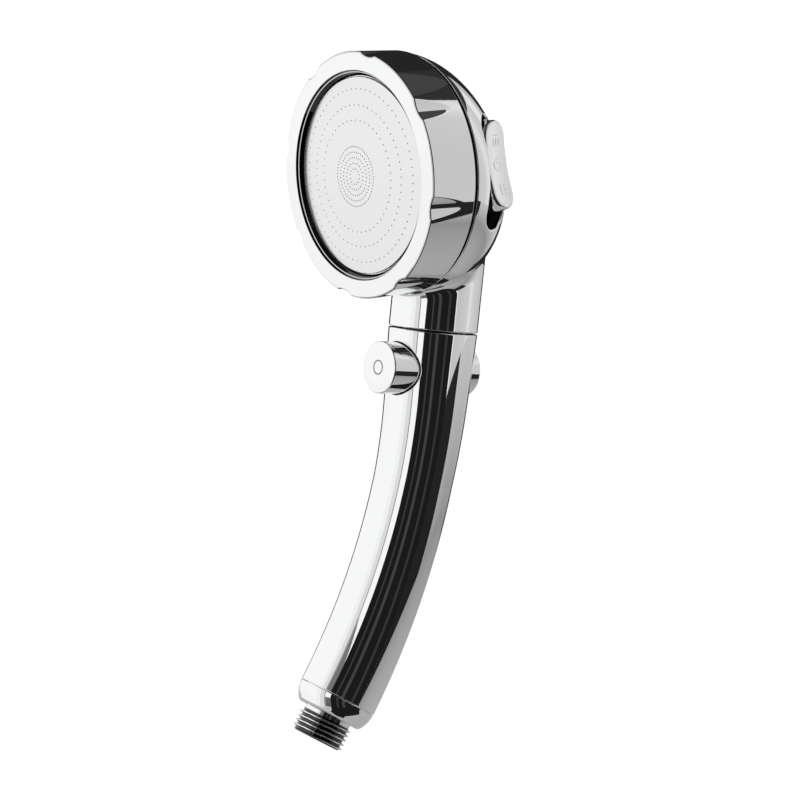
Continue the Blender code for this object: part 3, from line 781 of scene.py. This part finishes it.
def build_handle():
    """The grip's shell: its skin, the two button holes, and a rounded lip at each end."""
    top = SEAM_EDGE
    end = handle_length() - COLLAR_EDGE
    body = sweep(top + SEAM_LIP, end - COLLAR_LIP)
    for towards in (1, -1):
        body = clip(body, CAP_HOLE.level(handle_surface, towards))
    inside = clip(body, lambda points: CAP_HOLE.offset(points)[0] - SKIN)
    parts = [body, lining(inside, SKIN)]
    for towards in (1, -1):
        parts.append(CAP_HOLE.rim(handle_surface, towards, 16.5 * towards, 5.0))
    upper = float(handle_radius(top + SEAM_LIP))
    lower = float(handle_radius(end))
    lip = [(LIP_RADIUS, -top), (upper, -top, SEAM_LIP), (upper, -top - SEAM_LIP - 0.01)]
    parts.append(lathe(lip, NECK, HANDLE_SIDES))
    lip = [(lower, COLLAR_EDGE + COLLAR_LIP + 0.01), (lower, COLLAR_EDGE, COLLAR_LIP),
           (LIP_RADIUS, COLLAR_EDGE)]
    parts.append(lathe(lip, INLET, HANDLE_SIDES))
    add_piece("handle_body", parts, CHROME, "handle", ["handle_shell"])


def build_collar():
    outline = [(12.9, -0.1, 0.05), (15.45, -0.1, 0.25), (15.05, -3.4, 12.0), (13.15, -7.0, 2.4),
               (12.0, -7.5, 0.3), (10.0, -7.5, 0.3), (9.8, -6.0, 0.1), (9.8, 2.0, 0.1), (12.9, 2.0, 0.1)]
    ring = lathe(outline, INLET, HANDLE_SIDES, closed=True)
    add_piece("collar_ring", [ring], CHROME, "handle", ["end_collar"])


def thread(place, root, crest, pitch, high, low, columns=160):
    """A helical screw surface with flat crests and a lead-in at each end."""
    def radius(theta, z):
        phase = np.mod(z / pitch - theta / math.tau, 1.0)
        wave = np.clip(1.35 - np.abs(phase - 0.5) * 4.2, 0.0, 1.0)
        wave = wave * wave * (3.0 - 2.0 * wave)
        ends = np.clip((z - low) / (0.3 * pitch), 0.0, 1.0) * np.clip((high - z) / (0.5 * pitch), 0.0, 1.0)
        return root + (crest - root) * wave * ends

    rows = int((high - low) / pitch * THREAD_ROWS) + 1
    z, theta = np.meshgrid(np.linspace(high, low, rows), whole_turn(columns), indexing="ij")
    r = radius(theta, z)
    turn, rise = rates(radius, 1e-3, theta, z)
    return revolved(r, theta, z, (np.ones_like(r), -turn / r, -rise), grid_faces(rows, columns, True), place)


def build_nipple():
    root = THREAD_ROOT
    foot = THREAD_END + LEAD_IN
    add_piece("inlet_shank", [lathe([(root, 2.0), (root, THREAD_START)], INLET, 160)], CHROME, "handle")
    mouth = [(root, foot), (root, THREAD_END, 0.3), (7.7, THREAD_END, 0.3), (7.7, -6.0, 0.2),
             (4.6, -5.0, 0.3), (4.6, 1.5)]
    parts = [thread(INLET, root, THREAD_RADIUS, THREAD_PITCH, THREAD_START, foot), lathe(mouth, INLET, 160)]
    add_piece("inlet_thread", parts, THREAD_CHROME, "handle", ["inlet_nipple"])


def build_screen():
    """A domed wire screen in a pressed rim."""
    rim = [(7.3, -15.7, 0.15), (7.3, -17.2, 0.3), (6.3, -17.2, 0.3), (6.3, -16.4, 0.1), (6.6, -15.7, 0.1)]
    parts = [lathe(rim, INLET, 96, closed=True)]
    outline = circle_points(6.5, 64)
    holes = [(x, y, 0.28, 6) for x, y in square_grid(0.85, 6.0)]

    def height(x, y):
        return -16.4 - 0.35 * (1.0 - (x * x + y * y) / 42.0)

    parts += perforated(outline, holes, height, 0.25, INLET, -1)
    add_piece("filter_screen", parts, STEEL, "handle", ["inlet_screen"])


# Perforated sheets


def circle_points(radius, count, centre=(0.0, 0.0), turn=0.0):
    angles = turn + math.tau * np.arange(count) / count
    return np.stack([centre[0] + radius * np.cos(angles), centre[1] + radius * np.sin(angles)], -1)


def square_grid(pitch, radius):
    reach = int(radius / pitch)
    return [(i * pitch, j * pitch) for i in range(-reach, reach + 1) for j in range(-reach, reach + 1)
            if math.hypot(i * pitch, j * pitch) < radius]


def perforated(outline, holes, height, thickness, place, towards, fill=()):
    """A curved sheet with real holes (x, y, radius, sides). Fill points carry the curve between them.

    height describes the side of the sheet that looks towards +Z (1) or -Z (-1).
    """
    points = [Vector(point) for point in outline.tolist()]
    rings = [list(range(len(points)))]
    for x, y, radius, sides in holes:
        ring = circle_points(radius, sides, (x, y))
        rings.append(list(range(len(points), len(points) + sides)))
        points += [Vector(point) for point in ring.tolist()]
    points += [Vector(point) for point in fill]
    edges = [(ring[i], ring[(i + 1) % len(ring)]) for ring in rings for i in range(len(ring))]
    flat, _, faces, _, _, _ = delaunay_2d_cdt(points, edges, [], 1, 1e-7)
    flat = np.array([(point.x, point.y) for point in flat])
    faces = np.array(faces)
    centres = flat[faces].mean(1)
    inside = np.ones(len(faces), bool)
    for x, y, radius, _ in holes:
        inside &= np.hypot(centres[:, 0] - x, centres[:, 1] - y) > radius * 0.8
    faces = faces[inside]
    x, y = flat.T
    slope_x, slope_y = rates(height, 1e-3, x, y)
    local = np.stack([x, y, height(x, y)], -1)
    vectors = unit(np.stack([-slope_x, -slope_y, np.ones_like(x)], -1)) * towards
    if towards < 0:
        faces = faces[:, ::-1]
    below = local - np.array((0.0, 0.0, thickness * towards))
    parts = [moved(local, faces, vectors, place), moved(below, faces[:, ::-1], -vectors, place)]
    for cx, cy, radius, sides in holes:
        ring = circle_points(radius, sides, (cx, cy))
        top = height(*ring.T)
        upper = np.column_stack([ring, top])
        lower = np.column_stack([ring, top - thickness * towards])
        away = np.column_stack([(ring - (cx, cy)) / radius, np.zeros(sides)])
        quads = grid_faces(2, sides, True)
        if towards > 0:
            quads = quads[:, ::-1]
        parts.append(moved(np.concatenate([upper, lower]), quads, -np.concatenate([away, away]), place))
    return parts


# Stop button


def cap_outline(face, towards):
    r = BUTTON_RADIUS
    wall = 1.2
    outline = [(0.0, 0.0, 0.0), (r * 0.72, -0.1, 30.0), (r, -0.42, 0.6), (r, -BUTTON_LENGTH, 0.2),
               (r - wall, -BUTTON_LENGTH, 0.2), (r - wall, -1.7, 0.4), (0.0, -1.7, 0.0)]
    profile = [(radius, face + towards * z, fillet) for radius, z, fillet in outline]
    return profile if towards > 0 else profile[::-1]


def build_caps():
    for name, node, face, towards in (("stop_cap", "off_button", BUTTON_FRONT, 1),
                                      ("flow_cap", "on_button", BUTTON_REAR, -1)):
        add_piece(name, [lathe(cap_outline(face, towards), BUTTON, 144)], CHROME, "stop_button", [node])
    # A plain ring, the usual sign for off, printed on the cap that shuts the water off.
    z = BUTTON_FRONT + 0.03
    ring = [(2.35, z - 0.2), (2.35, z, 0.02), (2.85, z, 0.02), (2.85, z - 0.2)]
    add_piece("off_mark", [lathe(ring, BUTTON, 96)], INK, "stop_button")


# Rear of the head


POCKET = Hole(ROCKER, POCKET_WIDTH / 2.0, (POCKET_LENGTH - POCKET_WIDTH) / 2.0, -PIN_RISE, fillet=0.6)


def housing_limits(points):
    """Positive where the housing's skin stays: behind the bezel, and above the lip at the seam."""
    x, y, z = to_local(points, FACE).T
    reach = np.hypot(x, y)
    depth = -z
    clear_of_bezel = np.maximum(reach - BEZEL_RADIUS - BEZEL_GAP, depth - BEZEL_DEPTH - BEZEL_GAP)
    behind_lip = np.maximum(reach - DOME_RADIUS - 0.05, depth - DOME_EDGE - DOME_LIP)
    above_seam = to_local(points, NECK)[:, 2] - SEAM_EDGE - SEAM_LIP
    return np.minimum(np.minimum(clear_of_bezel, behind_lip), above_seam)


def build_housing():
    low = np.array((-DOME_RADIUS - 2.0, 32.0, 134.0)) * MM
    high = np.array((DOME_RADIUS + 2.0, 78.0, 245.0)) * MM
    points, faces = surface_net(head_surface, low, high, SURFACE_STEP * MM)
    points = settle(head_surface, points)
    skin = clip((points, faces, points), housing_limits)
    skin = clip(skin, POCKET.level(head_surface, 1))
    points, faces, _ = skin
    skin = (points, faces, slope(head_surface, points))
    inside = clip(skin, lambda p: np.where(to_local(p, ROCKER)[:, 2] > 0.0, POCKET.offset(p)[0] - SKIN, 1.0))
    rim = POCKET.rim(head_surface, 1, 7.2, POCKET_RIM)
    parts = [skin, lining(inside, SKIN), rim]
    front = -DOME_EDGE
    edge = [(DOME_RADIUS - LIP_WIDTH, front), (DOME_RADIUS, front, DOME_LIP),
            (DOME_RADIUS, front - DOME_LIP - 0.01)]
    parts.append(lathe(edge, FACE, HEAD_SIDES))
    parts.append(lathe([(NECK_RADIUS, SEAM_EDGE + SEAM_LIP + 0.01), (NECK_RADIUS, SEAM_EDGE, SEAM_LIP),
                        (LIP_RADIUS, SEAM_EDGE)], NECK, HANDLE_SIDES))
    add_piece("head_shell", parts, CHROME, "head", ["rear_housing"])
    add_spigot()
    foot = to_local(rim[0][-len(stadium(1.0, POCKET.half)[0]):], ROCKER)[:, 2]
    # Painted shade: a black wall just inside the rocker's pocket makes the deep pocket look dark.
    add_piece("pocket_shade_liner", [POCKET.liner(foot + 0.1, POCKET_FLOOR, 0.15)], BLACK, "head")


def add_spigot():
    """The bare plastic screw and sealing groove that the bezel closes on."""
    outline = [(37.4, -10.4, 0.3), (41.0, -10.4, 0.4), (41.0, -12.6, 0.2), (40.1, -12.8, 0.1),
               (40.1, -14.2, 0.1), (SPIGOT_ROOT, -14.4, 0.1), (SPIGOT_ROOT, SPIGOT_THREAD[0])]
    parts = [lathe(outline, FACE, HEAD_SIDES)]
    parts.append(thread(FACE, SPIGOT_ROOT, SPIGOT_CREST, SPIGOT_PITCH, *SPIGOT_THREAD, columns=320))
    parts.append(lathe([(SPIGOT_ROOT, SPIGOT_THREAD[1]), (SPIGOT_ROOT, -DOME_EDGE, 0.1),
                        (DOME_RADIUS - LIP_WIDTH, -DOME_EDGE)], FACE, HEAD_SIDES))
    parts.append(lathe([(37.4, -22.0), (37.4, -10.4)], FACE, HEAD_SIDES))
    add_piece("bezel_spigot", parts, BLACK, "head")


# Front bezel


def scallop_depth(theta, z):
    """How far the grip scallops cut in at an angle and a height."""
    pitch = math.tau / SCALLOPS
    phi = np.mod(theta - math.radians(SCALLOP_ANGLE) + pitch / 2.0, pitch) - pitch / 2.0
    reach = SCALLOP_REACH - z * math.tan(SCALLOP_LEAN)
    side = reach * np.sin(phi)
    near = reach * np.cos(phi) - np.sqrt(np.maximum(SCALLOP_RADIUS ** 2 - side ** 2, 0.0))
    depth = np.where(np.abs(side) < SCALLOP_RADIUS, BEZEL_RADIUS - near, -SCALLOP_RADIUS)
    share = np.clip(0.5 + 0.5 * depth / SCALLOP_EDGE, 0.0, 1.0)
    return depth * share + SCALLOP_EDGE * share * (1.0 - share)


def scalloped(r, theta, z, normal_r, normal_z):
    """Moves the outer wall in by the scallops, with exact normals; the inner parts of the ring stay."""
    share = np.clip((r - SCALLOP_INNER) / 2.0, 0.0, 1.0)
    weight = share * share * (3.0 - 2.0 * share)
    growth = 3.0 * share * (1.0 - share)
    depth = scallop_depth(theta, z)
    by_angle, by_height = rates(scallop_depth, 1e-4, theta, z)
    new_r = r - depth * weight
    out = normal_r / (1.0 - depth * growth)
    around = out * by_angle * weight / new_r
    return new_r, out, around, normal_z + out * by_height * weight


def build_bezel():
    pitch = 360.0 / SCALLOPS
    angles = []
    for i in range(SCALLOPS):
        middle = SCALLOP_ANGLE + pitch * i
        angles += list(np.arange(middle - SCALLOP_SPAN, middle + SCALLOP_SPAN, 0.1))
        angles += list(np.linspace(middle + SCALLOP_SPAN, middle + pitch - SCALLOP_SPAN, 70, endpoint=False))
    walls = [(BEZEL_RADIUS, -z) for z in np.linspace(1.0, BEZEL_DEPTH - 1.0, 34)]
    outer = [(SCALLOP_INNER, 0.0), (BEZEL_RADIUS - BEZEL_CHAMFER[0], 0.0, 0.15),
             (BEZEL_RADIUS, -BEZEL_CHAMFER[1], BEZEL_EDGE), *walls, (BEZEL_RADIUS, -BEZEL_DEPTH, 0.6),
             (SCALLOP_INNER, -BEZEL_DEPTH)]
    inner = [(SCALLOP_INNER, -BEZEL_DEPTH), (41.7, -BEZEL_DEPTH, 0.2), (41.7, -10.0, 0.2),
             (39.6, -10.0, 0.2), (39.6, -3.2, 0.2), (36.3, -3.2, 0.1), (36.35, -2.9, 0.1),
             (37.45, -1.05, 0.15), (37.8, -0.9, 0.1), (RIM_RADIUS, 0.0, 0.35), (SCALLOP_INNER, 0.0)]
    parts = [lathe(outer, FACE, warp=scalloped, angles=np.radians(angles)), lathe(inner, FACE, HEAD_SIDES)]
    add_piece("bezel_ring", parts, BEZEL_CHROME_PAINTED_SHADE, "front_bezel", ["front_bezel"])


# Spray face


def plate_height(x, y):
    return PLATE_RISE - PLATE_CROWN * (x * x + y * y) / PLATE_RADIUS ** 2


def build_plate():
    holes = []
    for radius, count in HOLE_RINGS:
        # Each ring starts at its own angle, so that the holes don't line up across the rings.
        ring = circle_points(radius, count, turn=math.radians(radius * RING_TURN))
        holes += [(x, y, HOLE_RADIUS, HOLE_SIDES) for x, y in ring.tolist()]
    centres = np.array([hole[:2] for hole in holes])
    fill = [point for point in square_grid(2.0, PLATE_RADIUS - 1.4)
            if np.hypot(*(centres - point).T).min() > 2.0 * HOLE_RADIUS]
    edge = PLATE_RADIUS - 0.5
    parts = perforated(circle_points(edge, HEAD_SIDES), holes, plate_height, 0.8, FACE, 1, fill)
    top = plate_height(edge, 0.0)
    rim = [(edge, top), (PLATE_RADIUS, top - 0.07, 0.25), (PLATE_RADIUS, -3.6, 0.1), (39.2, -3.6, 0.1),
           (39.2, -4.8, 0.1), (33.5, -4.8)]
    parts.append(lathe(rim, FACE, HEAD_SIDES))
    add_piece("spray_plate", parts, PLATE, "spray_face", ["spray_faceplate"])
    # Painted shade: dark cups make the spray holes look dark inside.
    add_piece("nozzle_shade_cups", [nozzle_shade_cups(holes)], RUBBER, "spray_face")


def nozzle_shade_cups(holes):
    """A small closed cup just inside every hole, in the black rubber material: painted shade for the dark inside
    of the holes.
    """
    points = []
    faces = []
    normals = []
    for x, y, radius, sides in holes:
        start = len(points)
        top = plate_height(x, y)
        for share, level in ((0.9, 0.25), (0.75, HOLE_DEPTH)):
            ring = circle_points(radius * share, sides, (x, y)).tolist()
            points += [(*point, top - level) for point in ring]
            normals += [(x - px, y - py, 0.0) for px, py in ring]
        points += points[-sides:]
        normals += [(0.0, 0.0, 1.0)] * sides
        faces += (start + grid_faces(2, sides, True)[:, ::-1]).tolist()
        faces.append([start + 2 * sides + i for i in range(sides)])
    return moved(np.array(points), faces, np.array(normals), FACE)


# Mode rocker


def rocker_row(share):
    """A ring of the drafted wall, from the base at 0 to the face at 1."""
    width = ROCKER_WIDTH + ROCKER_SPREAD * (1.0 - share)
    length = ROCKER_LENGTH + 2.0 * ROCKER_DRAFT * (1.0 - share)
    around, away = stadium(width / 2.0, (length - width) / 2.0)
    height = ROCKER_BOTTOM + ROCKER_HEIGHT * share
    return np.column_stack([around, np.full(len(around), height)]), away


def dished(points, normals):
    """Sinks the middle of the rocker's length, most at the face and not at all at the base."""
    share = np.clip((points[:, 2] - ROCKER_BOTTOM) / ROCKER_HEIGHT, 0.0, 1.0)
    along = points[:, 1] / (ROCKER_LENGTH / 2.0)
    sunk = points.copy()
    sunk[:, 2] -= ROCKER_DISH * np.clip(1.0 - along ** 2, 0.0, 1.0) * share
    tilt = ROCKER_DISH * 2.0 * along / (ROCKER_LENGTH / 2.0) * share
    tilt = np.where(np.abs(along) < 1.0, tilt, 0.0)
    turned = normals.copy()
    turned[:, 1] -= tilt * normals[:, 2]
    return sunk, turned


def rocker_wall(low, high, away):
    """The drafted wall's rings and normals, from the rounded edge down."""
    lean = -((high - low)[:, :2] * away).sum(-1) / ROCKER_HEIGHT
    side = unit(np.column_stack([away, lean]))
    lift = 1.0 - ROCKER_EDGE * (1.0 - side[:, 2]) / ROCKER_HEIGHT
    shares = [(lift * share)[:, None] for share in np.linspace(1.0, 0.0, EDGE_STEPS + 1)]
    return [(high * share + low * (1.0 - share), side) for share in shares]


def rocker_rounding(ring, side):
    """The rounded edge's rings and normals, from the wall up to the face."""
    centre = ring - side * ROCKER_EDGE
    angle = np.arccos(side[:, 2:3])
    shares = np.linspace(0.0, 1.0, EDGE_STEPS + 1)[1:]
    spokes = [between(side, np.array((0.0, 0.0, 1.0)), angle, share) for share in shares]
    return [(centre + spoke * ROCKER_EDGE, spoke) for spoke in spokes]


def rocker_face(edge, away):
    """The crowned face's rings and normals, from its edge to its middle line."""
    half = (ROCKER_LENGTH - ROCKER_WIDTH) / 2.0
    middle = np.column_stack([np.zeros(len(edge)), np.clip(edge[:, 1], -half, half), edge[:, 2]])
    rings = []
    for share in np.linspace(0.0, 1.0, EDGE_STEPS + 1)[1:]:
        ring = edge * (1.0 - share) + middle * share
        ring[:, 2] += ROCKER_CROWN * share * (2.0 - share)
        tip = 2.0 * ROCKER_CROWN * (1.0 - share) / (ROCKER_WIDTH / 2.0 - ROCKER_EDGE)
        rings.append((ring, unit(np.column_stack([away * tip, np.ones(len(away))]))))
    return rings


def rocker_body():
    low, away = rocker_row(0.0)
    wall = rocker_wall(low, rocker_row(1.0)[0], away)
    rounding = rocker_rounding(*wall[0])
    face = rocker_face(rounding[-1][0], away)
    rings = face[::-1] + rounding[::-1] + wall
    points, vectors = (np.concatenate(group) for group in zip(*rings))
    faces = as_lists(grid_faces(len(rings), len(away), True))
    faces.append(list(range(len(points) - len(away), len(points)))[::-1])
    points, vectors = dished(points, vectors)
    return moved(points, faces, vectors, ROCKER_REST)


def ridge(path):
    """A soft raised line along a flat path (x, y), tapered at both ends, or a closed loop."""
    path = np.array(path, float)
    loop = np.allclose(path[0], path[-1])
    along = unit(np.gradient(path, axis=0))
    if loop:
        along[0] = along[-1] = unit(path[1] - path[-2])
    left = np.column_stack([-along[:, 1], along[:, 0]])
    run = np.concatenate([[0.0], np.cumsum(np.hypot(*np.diff(path, axis=0).T))])
    half = SIGN_WIDTH / 2.0
    end = np.minimum(run, run[-1] - run) / half
    size = np.ones(len(path)) if loop else np.sqrt(1.0 - (1.0 - np.clip(end, 0.02, 1.0)) ** 2)
    across = np.linspace(1.0, -1.0, EDGE_STEPS + 1)
    rise = 0.5 + 0.5 * np.cos(math.pi * across)
    fall = 0.5 * math.pi * np.sin(math.pi * across)
    flat = path[:, None] + left[:, None] * (size[:, None] * across * half)[..., None]
    base = ROCKER_TOP + ROCKER_CROWN * 0.8
    points = np.concatenate([flat, (base + size[:, None] * rise * SIGN_HEIGHT)[..., None]], -1)
    upright = np.full(flat.shape[:2] + (1,), half)
    normals = np.concatenate([left[:, None] * (fall * SIGN_HEIGHT)[:, None], upright], -1)
    faces = grid_faces(len(path), EDGE_STEPS + 1, False)[:, ::-1]
    points, normals = dished(points.reshape(-1, 3), normals.reshape(-1, 3))
    return moved(points, faces, normals, ROCKER_REST)


def arc(centre, radius, start, end, count=24):
    turn = np.radians(np.linspace(start, end, count))
    return [(centre[0] + radius * math.cos(a), centre[1] + radius * math.sin(a)) for a in turn]


def line(start, end):
    return np.linspace(start, end, 10)


def rocker_signs():
    """Three plain spray signs: a shower of bars, a swirl, and a jet beside drops."""
    paths = [line((-1.9, 10.6), (1.9, 10.6))]
    paths += [line((x, 9.6), (x, 6.6)) for x in (-1.45, 0.0, 1.45)]
    paths += [arc((0.0, 0.0), 2.3, 60.0, 330.0), arc((0.0, -0.1), 1.2, -120.0, 160.0)]
    paths.append(line((-1.2, -6.6), (-1.2, -11.2)))
    return paths + [arc((1.1, y), 0.45, 0.0, 360.0, 14) for y in (-7.4, -9.0, -10.6)]


def build_rocker():
    parts = [rocker_body()] + [ridge(path) for path in rocker_signs()]
    add_piece("mode_button", parts, CHROME, "mode_rocker", ["mode_rocker"])


# Stage


def view_frame(azimuth, elevation, roll):
    """Right, up and backward axes of a camera that looks at the object from an azimuth and elevation."""
    a, e = math.radians(azimuth), math.radians(elevation)
    back = Vector((math.sin(a) * math.cos(e), -math.cos(a) * math.cos(e), math.sin(e)))
    right = Vector((math.cos(a), math.sin(a), 0.0))
    turn = Matrix.Rotation(math.radians(roll), 3, back)
    return turn @ right, turn @ back.cross(right), back


def add_camera():
    data = bpy.data.cameras.new("photo_camera")
    data.lens = CAMERA_LENS
    data.sensor_width = 36.0
    camera = bpy.data.objects.new("photo_camera", data)
    right, up, back = view_frame(CAMERA_AZIMUTH, CAMERA_ELEVATION, CAMERA_ROLL)
    target = FACE.translation
    place = target + (back * CAMERA_DISTANCE + right * CAMERA_ASIDE - up * CAMERA_DROP) * MM
    turn = Matrix((right, up, back)).transposed().to_4x4()
    camera.matrix_world = Matrix.Translation(place) @ turn
    SCENE.collection.objects.link(camera)
    SCENE.camera = camera


def glow_material(name, source, start, end, low, high):
    """A plain lit surface. source picks the coordinate, from start to end, along which the light changes."""
    made = Shader(name, (1.0, 1.0, 1.0), 0.0, 1.0)
    place = made.place["Object"]
    if source == "reach":
        value = made.maths("VectorMath", "LENGTH", "Value", place)
    else:
        value = made.node("SeparateXYZ", Vector=place).outputs[source]
    made.tree.nodes.remove(made.shader)
    glow = made.node("Emission", Strength=made.ramp(value, start, end, low, high))
    made.tree.links.new(glow.outputs[0], made.tree.nodes["Material Output"].inputs["Surface"])
    return made.material


def studio_card(name, start, end, rims, shades, source):
    """A strip between two rims (reach, height) in metres, which the chrome sees and the camera doesn't."""
    count = max(2, int((end - start) / 4.0) + 1)
    turns = np.radians(np.linspace(start, end, count))
    points = [(reach * math.sin(a), -reach * math.cos(a), z) for reach, z in rims for a in turns]
    spans = {"X": (points[0][0], points[count - 1][0]), "Z": (rims[0][1], rims[1][1]),
             "reach": (math.hypot(*rims[0]), math.hypot(*rims[1]))}
    mesh = bpy.data.meshes.new(name)
    mesh.from_pydata(points, [], [(i, i + 1, count + i + 1, count + i) for i in range(count - 1)])
    mesh.materials.append(glow_material(name, source, *spans[source], *shades))
    obj = bpy.data.objects.new(name, mesh)
    SCENE.collection.objects.link(obj)
    obj.location = (0.0, STUDIO_CENTRE, 0.0)
    obj.visible_camera = False
    obj.visible_diffuse = False
    obj.visible_shadow = False


def wall_card(name, start, end, shades, low=STUDIO_FLOOR, high=STUDIO_TOP, inset=0.0, source="Z"):
    """An upright curved card between two azimuths. Its shades run up, or along X."""
    radius = STUDIO_RADIUS - inset
    studio_card(name, start, end, ((radius, low), (radius, high)), shades, source)


def level_card(name, start, end, inner, height, shades):
    """Part of a flat ring above or below the object. Its shades run outwards."""
    studio_card(name, start, end, ((inner, height), (STUDIO_RADIUS, height)), shades, "reach")


def add_studio():
    """White light from the front and left, a black card on the right, and grey walls behind."""
    for start, end, shades in ((108.0, 140.0, (0.60, 0.68)), (140.0, 148.0, (0.68, 0.86)),
                               (148.0, 158.0, (0.86, 0.70)), (158.0, 201.0, (0.70, 0.55))):
        wall_card(f"back_wall_{int(start)}", start, end, shades, low=0.03, source="X")
    wall_card("bright_strip", 174.0, 190.0, (0.85, 0.9), low=0.15, high=0.5, inset=0.003)
    wall_card("back_wall_foot", 108.0, 201.0, (0.30, 0.62), high=0.03)
    wall_card("back_wall_head", 155.0, 201.0, (0.04, 0.03), low=0.52, inset=0.002)
    wall_card("outline_card", 201.0, 258.0, (0.02, 0.02), low=0.0)
    wall_card("outline_card_foot", 201.0, 258.0, (0.03, 0.02), high=0.0)
    wall_card("black_card", 30.0, 106.0, (0.012, 0.012), high=0.33)
    wall_card("black_card_top", 30.0, 106.0, (0.03, 0.12), low=0.33)
    wall_card("black_card_foot", 106.0, 135.0, (0.015, 0.02), high=0.03, inset=0.002)
    wall_card("slit_foot", 15.0, 30.0, (0.12, 0.16), high=0.11)
    wall_card("slit_top", 15.0, 30.0, (0.2, 0.08), low=0.27)
    wall_card("thin_line", 12.0, 14.5, (0.25, 0.25))
    wall_card("front_grey", 0.0, 12.0, (0.81, 0.81))
    wall_card("front_soft", -12.0, 0.0, (1.0, 1.0))
    for start, end, shade in ((46.0, 50.0, 0.05), (61.0, 68.0, 0.06), (86.0, 92.0, 0.04)):
        wall_card(f"stripe_{int(start)}", start, end, (shade, shade), inset=0.004)
    level_card("top_card", 0.0, 360.0, 0.0, STUDIO_TOP, (0.06, 0.06))
    level_card("low_card", 0.0, 360.0, 0.0, STUDIO_FLOOR + 0.001, (0.44, 0.6))
    level_card("low_back", 108.0, 258.0, 0.14, STUDIO_FLOOR + 0.002, (0.45, 0.31))
    level_card("low_black", 28.0, 108.0, 0.13, STUDIO_FLOOR + 0.003, (0.012, 0.012))


def add_floor():
    made = Shader("pale_floor", (0.92, 0.92, 0.92), 0.0, 0.8)
    made.shader.inputs["Emission Color"].default_value = (1.0, 1.0, 1.0, 1.0)
    made.shader.inputs["Emission Strength"].default_value = FLOOR_GLOW
    made.bump((made.noise(4.0, 2.0), 0.02, 1.0))
    mesh = bpy.data.meshes.new("studio_floor")
    reach = 6.0
    corners = [(x * reach, y * reach, STUDIO_FLOOR) for x, y in ((-1, -1), (1, -1), (1, 1), (-1, 1))]
    mesh.from_pydata(corners, [], [(0, 1, 2, 3)])
    mesh.materials.append(made.material)
    floor = bpy.data.objects.new("studio_floor", mesh)
    SCENE.collection.objects.link(floor)


def add_world():
    world = bpy.data.worlds.new("studio")
    world.use_nodes = True
    light = world.node_tree.nodes["Background"].inputs
    light["Color"].default_value = (1.0, 1.0, 1.0, 1.0)
    light["Strength"].default_value = WORLD_LIGHT
    SCENE.world = world
    SCENE.view_settings.view_transform = "Standard"


def build_pieces():
    build_handle()
    build_collar()
    build_nipple()
    build_screen()
    build_caps()
    build_housing()
    build_bezel()
    build_plate()
    build_rocker()


build_pieces()
finish_frame_nodes()
add_world()
add_floor()
add_studio()
add_camera()
